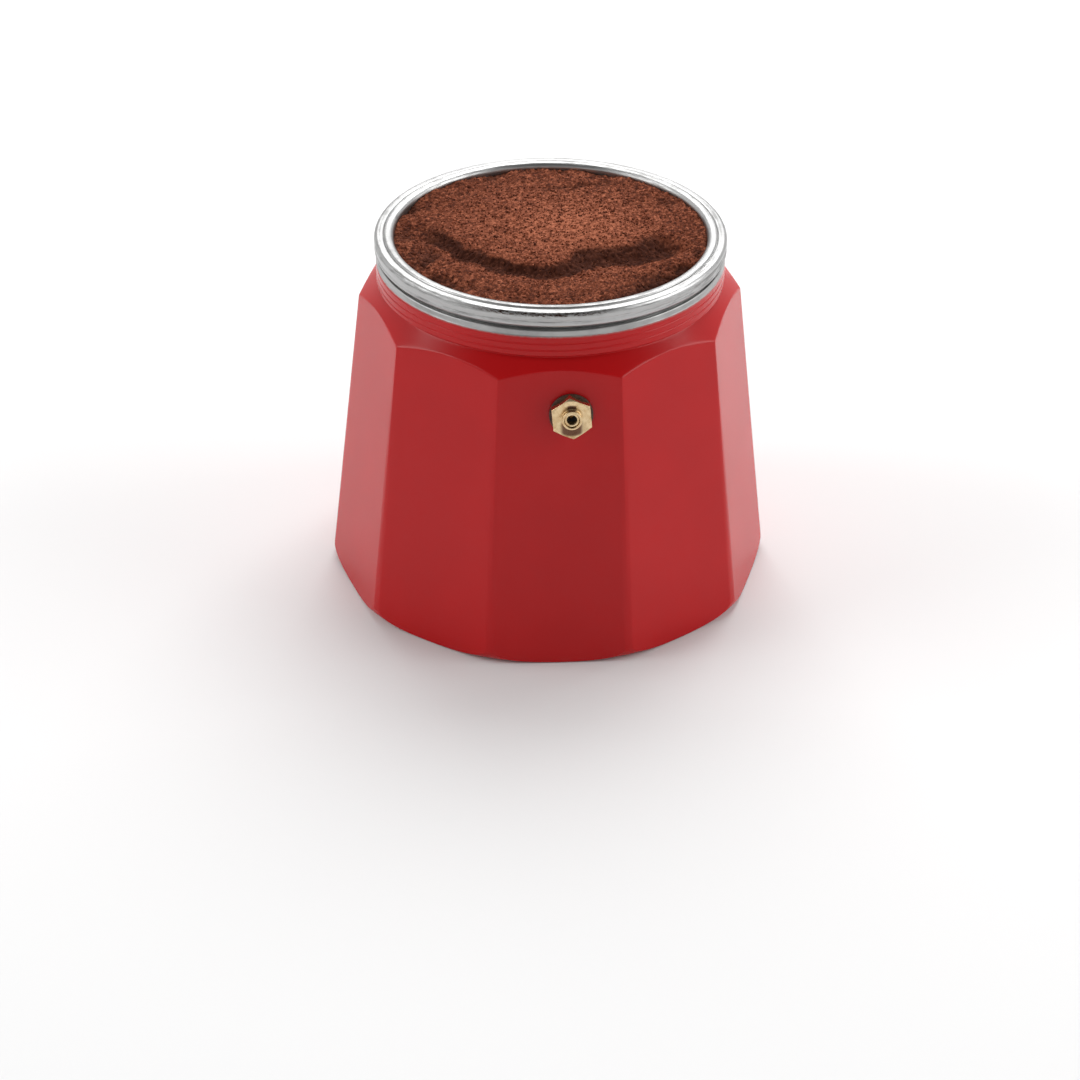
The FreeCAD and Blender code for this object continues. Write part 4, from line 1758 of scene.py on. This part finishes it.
@dataclass
class GroundCoffee:
    """Loose grounds that fill the cup: a pressed bed with a curved step, and grains lying on it."""

    finish: bpy.types.Material
    pressed_step: PressedStep = PressedStep()
    cells: int = 290
    wall_low_r: float = 36.85
    wall_top_r: float = 37.72
    wall_low: float = 67.02
    edge_z: float = 88.35
    highest: float = 91.4
    highest_grain: float = 91.2
    highest_corner: float = 91.49
    crown: float = 1.9
    crack_y: float = 25.2
    crack_bow: float = 0.012
    crack_width: float = 0.9
    crack_depth: float = 0.55
    pit_depth: float = 0.9
    coarse_grain: float = 0.95
    fine_grain: float = 0.5
    grains: int = 7500
    grain_size: tuple[float, float] = (0.13, 0.34)
    seed: int = 11

    def __post_init__(self) -> None:
        """Draws the random clouds."""
        self.clouds = Clouds(self.seed)

    def crack(self, x: np.ndarray, y: np.ndarray) -> np.ndarray:
        """The shallow crack at the back: exp(-(distance from its bowed line / width)^2), faded at both ends.

        Args:
            x: Places along x.
            y: Places along y.

        Returns:
            Its share of each place, from 0 to 1.
        """
        line = self.crack_y + self.crack_bow * (x + 2.0) ** 2
        ends = smooth_step(x, -4.0, 3.0) * smooth_step(x, 19.0, 12.0)
        return np.exp(-(((y - line) / self.crack_width) ** 2)) * ends

    def pits(self, x: np.ndarray, y: np.ndarray, wobble: np.ndarray) -> np.ndarray:
        """The pitted ground on the left and on the right in front, where the clouds are high.

        Args:
            x: Places along x.
            y: Places along y.
            wobble: Clouds from about -1 to 1.

        Returns:
            Its share of each place, from 0 to a little over 1.
        """
        left = np.exp(-(((x + 28.0) / 5.5) ** 2 + ((y + 15.0) / 12.0) ** 2))
        right = smooth_step(x * 0.75 - y * 0.66, 29.0, 35.0) * smooth_step(y, 6.0, -6.0)
        return (left + 1.2 * right) * smooth_step(wobble, -0.5, 0.35)

    def relief(self, x: np.ndarray, y: np.ndarray) -> tuple[np.ndarray, np.ndarray]:
        """Height of the bed without its grains, and how much painted shade each place gets for lying in a
        hollow.

        A low mound, crown * (1 - (r / R)^2), carries the pressed step, a crack, pits, and lumps that are low
        in the middle and high near the wall.

        Args:
            x: Places along x.
            y: Places along y.

        Returns:
            Height in millimetres, and the painted shade from 0 to 1.
        """
        r = np.hypot(x, y)
        wobble = self.clouds.layered(x, y, 4.0, 3)
        step, dark = self.pressed_step.relief(x, y, wobble)
        crack = self.crack(x, y)
        pits = self.pits(x, y, wobble)
        lumps = self.clouds.layered(x + 40.0, y, 7.0, 4)
        near_wall = smooth_step(r, 30.0, 37.0)
        middle = np.exp(-((x / 22.0) ** 2 + ((y - 4.0) / 17.0) ** 2))
        height = self.edge_z + self.crown * (1.0 - (r / self.wall_top_r) ** 2) + step
        height = height - self.crack_depth * crack - self.pit_depth * pits
        height = height + lumps * (0.34 - 0.24 * middle + 0.3 * near_wall)
        # Painted shade for the hollow places: the step's fall, the crack, the pits and low lumps near the
        # wall.
        rough = near_wall * smooth_step(-lumps, 0.0, 0.6) * 0.7
        shade_masks = (dark, 0.8 * crack, np.minimum(pits * 1.1, 1.0), rough)
        return height, np.maximum.reduce(shade_masks)

    def disc_grid(self) -> tuple[np.ndarray, np.ndarray]:
        """A square grid bent onto the disc.

        The square's point (a, b) goes to radius max(|a|, |b|), at an angle that runs evenly round each
        square ring, so the cells keep nearly the same size from the middle to the wall.

        Returns:
            Places along x and along y.
        """
        side = np.linspace(-1.0, 1.0, self.cells)
        a, b = np.meshgrid(side, side, indexing="ij")
        wide = np.abs(a) >= np.abs(b)
        ring = np.where(wide, a, b)
        safe = np.where(np.abs(ring) < 1e-9, 1.0, ring)
        angle = np.where(wide, math.pi / 4 * b / safe, math.pi / 2 - math.pi / 4 * a / safe)
        return self.wall_top_r * ring * np.cos(angle), self.wall_top_r * ring * np.sin(angle)

    def bed_top(self) -> tuple[np.ndarray, np.ndarray, np.ndarray]:
        """Top of the bed, with its grains.

        Returns:
            Its points, and for each the tone, which carries painted light and shade, and the painted shade
            where the bed lies in a hollow.
        """
        x, y = self.disc_grid()
        coarse, coarse_tone = self.clouds.pebbles(x, y, self.coarse_grain)
        fine, fine_tone = self.clouds.pebbles(x + 13.0, y, self.fine_grain)
        height, hollow = self.relief(x, y)
        loose = np.maximum(hollow, smooth_step(np.hypot(x, y), 20.0, 34.0))
        pressed = np.exp(-(((x - 5.0) / 15.0) ** 2) - ((y - 2.0) / 12.0) ** 2)
        height = height + (0.08 + 0.3 * loose) * coarse + 0.14 * fine
        tone = 0.5 + 0.35 * (coarse_tone - 0.5) * (0.4 + loose) + 0.5 * (fine_tone - 0.5)
        # Painted light and shade: the pressed middle is painted lighter and the loose ground darker.
        tone = tone + 0.3 * pressed - 0.12 * loose
        points = np.stack([x, y, np.minimum(height, self.highest)], axis=-1).reshape(-1, 3)
        return points, tone.reshape(-1), hollow.reshape(-1)

    def rings_below(self) -> list[tuple[float, float]]:
        """Rings that close the bed: down the cup's wall, and inwards over its flat bottom.

        Returns:
            The radius and the height of each.
        """
        rings = []
        for z in (self.edge_z - 2.2, self.edge_z - 2.6, 78.0, self.wall_low):
            share = (z - self.wall_low) / (self.edge_z - self.wall_low)
            rings.append((self.wall_low_r + share * (self.wall_top_r - self.wall_low_r), z))
        return [*rings, (24.0, self.wall_low), (10.0, self.wall_low)]

    def bed_skin(self) -> Skin:
        """Closed bed: its top, a wall round it, and a flat bottom.

        Returns:
            The skin.
        """
        top, tone, hollow = self.bed_top()
        grid = np.arange(len(top)).reshape(self.cells, self.cells)
        quads = np.stack([grid[:-1, :-1], grid[1:, :-1], grid[1:, 1:], grid[:-1, 1:]], axis=-1)
        rim = np.concatenate([grid[0, :-1], grid[:-1, -1], grid[-1, :0:-1], grid[:0:-1, 0]])
        points, faces, last, count = [top], [quads.reshape(-1, 4)], rim, len(top)
        edge = top[rim]
        bearing = edge[:, :2] / np.linalg.norm(edge[:, :2], axis=1, keepdims=True)
        for r, z in self.rings_below():
            now = count + np.arange(len(rim))
            points.append(np.concatenate([bearing * r, np.full((len(rim), 1), z)], axis=1))
            faces.append(np.stack([last, np.roll(last, -1), np.roll(now, -1), now], axis=-1))
            last, count = now, count + len(rim)
        points.append(np.array([[0.0, 0.0, self.wall_low]]))
        triangles = np.stack([last, np.roll(last, -1), np.full(len(rim), count)], axis=-1)
        spare = count + 1 - len(top)
        # The "hollow" mark carries painted shade; the bed's sides and bottom get a little of it too.
        marks = {
            "tone": np.concatenate([tone, np.full(spare, 0.4)]),
            "hollow": np.concatenate([hollow, np.full(spare, 0.3)]),
        }
        return Skin(np.concatenate(points), np.concatenate(faces), triangles, marks).faced_outwards()

    def grain_skin(self) -> Skin:
        """Loose grains: one small twenty-faced stone, scaled, squashed and turned for each place.

        Places are even over the disc: r = R sqrt(u), with u and the bearing random.

        Returns:
            The skin of all the stones.
        """
        chance = np.random.default_rng(self.seed + 1)
        corners, faces = twenty_faced_stone()
        count = self.grains
        bearing = chance.uniform(0.0, FULL_TURN, count)
        r = (self.wall_top_r - 0.7) * np.sqrt(chance.uniform(0.0, 1.0, count))
        x, y = r * np.cos(bearing), r * np.sin(bearing)
        height, hollow = self.relief(x, y)
        low, high = self.grain_size
        size = low + (high - low) * chance.uniform(0.0, 1.0, count) ** 2.2
        stretch = chance.uniform(0.55, 1.25, (count, 3))
        turns = turning_matrices(chance.normal(size=(count, 4)))
        rough = corners[None] * (1 + chance.uniform(-0.22, 0.22, (count, len(corners), 1)))
        rough = rough * stretch[:, None, :]
        stones = np.einsum("nab,nvb->nva", turns, rough) * size[:, None, None]
        lying = np.minimum(height + 0.16 + 0.2 * size, self.highest_grain)
        stones += np.stack([x, y, lying], axis=-1)[:, None, :]
        points = stones.reshape(-1, 3)
        points[:, 2] = np.minimum(points[:, 2], self.highest_corner)
        triangles = (faces[None] + len(corners) * np.arange(count)[:, None, None]).reshape(-1, 3)
        # Grains take the painted shade of the hollow they lie in, a little weaker.
        marks = {
            "tone": np.repeat(chance.uniform(0.0, 1.0, count), len(corners)),
            "hollow": np.repeat(hollow * 0.85, len(corners)),
        }
        return Skin(points, np.zeros((0, 4), int), triangles, marks)

    def build(self) -> list[bpy.types.Object]:
        """Makes the bed and the loose grains.

        Returns:
            The two new pieces.
        """
        bed = add_piece(
            "coffee_bed", self.bed_skin(), Body.COFFEE, self.finish, ["ground_coffee"], 180.0
        )
        grains = add_piece(
            "coffee_grains", self.grain_skin(), Body.COFFEE, self.finish, crease=None
        )
        return [bed, grains]


# ---- studio ----------------------------------------------------------------------------------------


@dataclass(frozen=True)
class SoftLight:
    """A square soft box that points at the pot.

    Attributes:
        name: What it is called.
        azimuth: Where it stands round the pot, in degrees; 0 is in front and 90 to the right.
        elevation: How high it stands, in degrees above the floor.
        distance: Metres from the pot.
        size: Width and height in metres.
        power: Watts.
    """

    name: str
    azimuth: float
    elevation: float
    distance: float
    size: tuple[float, float]
    power: float


def direction(azimuth: float, elevation: float) -> Vector:
    """Unit vector from the pot towards a place given by two angles in degrees."""
    a, e = math.radians(azimuth), math.radians(elevation)
    return Vector((math.sin(a) * math.cos(e), -math.cos(a) * math.cos(e), math.sin(e)))


@dataclass
class Studio:
    """Pale floor, soft light and the camera."""

    lens: float = 102.36
    sensor: float = 36.0
    azimuth: float = -2.996
    elevation: float = 31.921
    distance: float = 0.79038
    roll: float = 0.36
    target: tuple[float, float, float] = (-0.00189, 0.00387, 0.0)
    aim: tuple[float, float, float] = (0.0, 0.0, 0.06)
    floor_r: float = 6.0
    floor_sides: int = 96
    floor_colour: Colour = (0.77, 0.77, 0.77)
    surround: float = 0.8
    shade: float = 0.1
    shade_azimuth: float = 0.0
    shade_elevation: float = 62.0
    shade_edges: tuple[float, float] = (62.0, 28.0)
    lights: tuple[SoftLight, ...] = (
        SoftLight("back_top", 168.0, 52.0, 1.1, (1.0, 0.8), 11.0),
        SoftLight("right_side", 80.0, 24.0, 1.2, (0.9, 0.9), 7.0),
        SoftLight("left_side", -85.0, 30.0, 1.3, (0.8, 0.8), 7.0),
    )

    def add_floor(self) -> None:
        """A large round floor at z = 0, in a faintly clouded pale colour."""
        ring = even_angles(self.floor_sides)
        edge = np.stack([np.cos(ring) * self.floor_r, np.sin(ring) * self.floor_r, 0.0 * ring], axis=-1)
        mesh = bpy.data.meshes.new("floor")
        mesh.from_pydata(edge.tolist(), [], [list(range(self.floor_sides))])
        recipe = Recipe("pale_floor")
        cloud = recipe.noise(recipe.place(), 260.0, 2.0)
        pale = recipe.mix(cloud, self.floor_colour, shaded(self.floor_colour, 0.985))
        mesh.materials.append(recipe.finish(Base_Color=pale, Roughness=0.85, Specular_IOR_Level=0.2))
        floor = bpy.data.objects.new("floor", mesh)
        bpy.context.scene.collection.objects.link(floor)

    def add_lights(self) -> None:
        """The soft boxes, which the camera doesn't see, and an even surround with one dark patch.

        The patch is a disc on the sky that glossy faces mirror: the light falls to shade between its outer
        and inner edges, which are angles from its middle.
        """
        sky = Recipe("studio", world=True)
        view = sky.node("ShaderNodeTexCoord").outputs["Generated"]
        middle = tuple(direction(self.shade_azimuth, self.shade_elevation))
        across = sky.node("ShaderNodeVectorMath", {"operation": "DOT_PRODUCT"}, {0: view, 1: middle})
        outer, inner = (math.cos(math.radians(edge)) for edge in self.shade_edges)
        patch = Wire(sky, across.outputs["Value"]).rise(outer, inner)
        grey = sky.mix(patch, (self.surround,) * 3, (self.shade,) * 3)
        glow = sky.node("ShaderNodeBackground", inputs={"Color": grey})
        sky.node("ShaderNodeOutputWorld", inputs={"Surface": glow.outputs[0]})
        bpy.context.scene.world = sky.holder
        for plan in self.lights:
            lamp = bpy.data.lights.new(plan.name, "AREA")
            lamp.shape = "RECTANGLE"
            lamp.size, lamp.size_y = plan.size
            lamp.energy = plan.power
            away = direction(plan.azimuth, plan.elevation)
            holder = bpy.data.objects.new(plan.name, lamp)
            holder.location = Vector(self.aim) + away * plan.distance
            holder.rotation_mode = "QUATERNION"
            holder.rotation_quaternion = (-away).to_track_quat("-Z", "Y")
            holder.visible_camera = False
            bpy.context.scene.collection.objects.link(holder)

    def add_camera(self) -> None:
        """The camera, aimed at a point on the floor, with a slight roll."""
        lens = bpy.data.cameras.new("camera")
        lens.lens, lens.sensor_width = self.lens, self.sensor
        lens.clip_start, lens.clip_end = 0.05, 50.0
        away = direction(self.azimuth, self.elevation)
        camera = bpy.data.objects.new("camera", lens)
        camera.location = Vector(self.target) + away * self.distance
        camera.rotation_mode = "QUATERNION"
        roll = Quaternion((0.0, 0.0, 1.0), math.radians(self.roll))
        camera.rotation_quaternion = (-away).to_track_quat("-Z", "Y") @ roll
        bpy.context.scene.collection.objects.link(camera)
        bpy.context.scene.camera = camera

    def build(self) -> None:
        """Sets the whole studio up."""
        bpy.context.scene.view_settings.view_transform = "Standard"
        self.add_floor()
        self.add_lights()
        self.add_camera()
        LOG.info("studio: floor, %d lights and camera", len(self.lights))


def main() -> None:
    """Builds the studio and every piece of the pot in order."""
    logging.basicConfig(level=logging.INFO, format="%(name)s: %(message)s")
    Studio().build()
    brass = TurnedBrass().make()
    fibre = MattStuff("fibre_washer", (0.085, 0.036, 0.020), (0.035, 0.014, 0.008), 0.5, 0.55)
    rubber = MattStuff("seal_rubber", (0.03, 0.03, 0.03), (0.015, 0.015, 0.015), 0.4, 0.6)
    steel = MattStuff("spring_wire", (0.62, 0.62, 0.61), (0.45, 0.45, 0.45), 0.3, 0.25, 1.0, 0.004)
    boiler = Boiler(LacqueredCasting().make())
    seat = ValveSeat(boiler)
    boiler.build(seat)
    SafetyValve(seat, brass, fibre.make(), rubber.make(), steel.make()).build()
    plain = SpunAluminium(name="plain_aluminium", marked=False)
    Funnel(SpunAluminium().make(), plain.make()).build()
    GroundCoffee(CoffeeGrounds().make()).build()


if __name__ == "__main__":
    main()
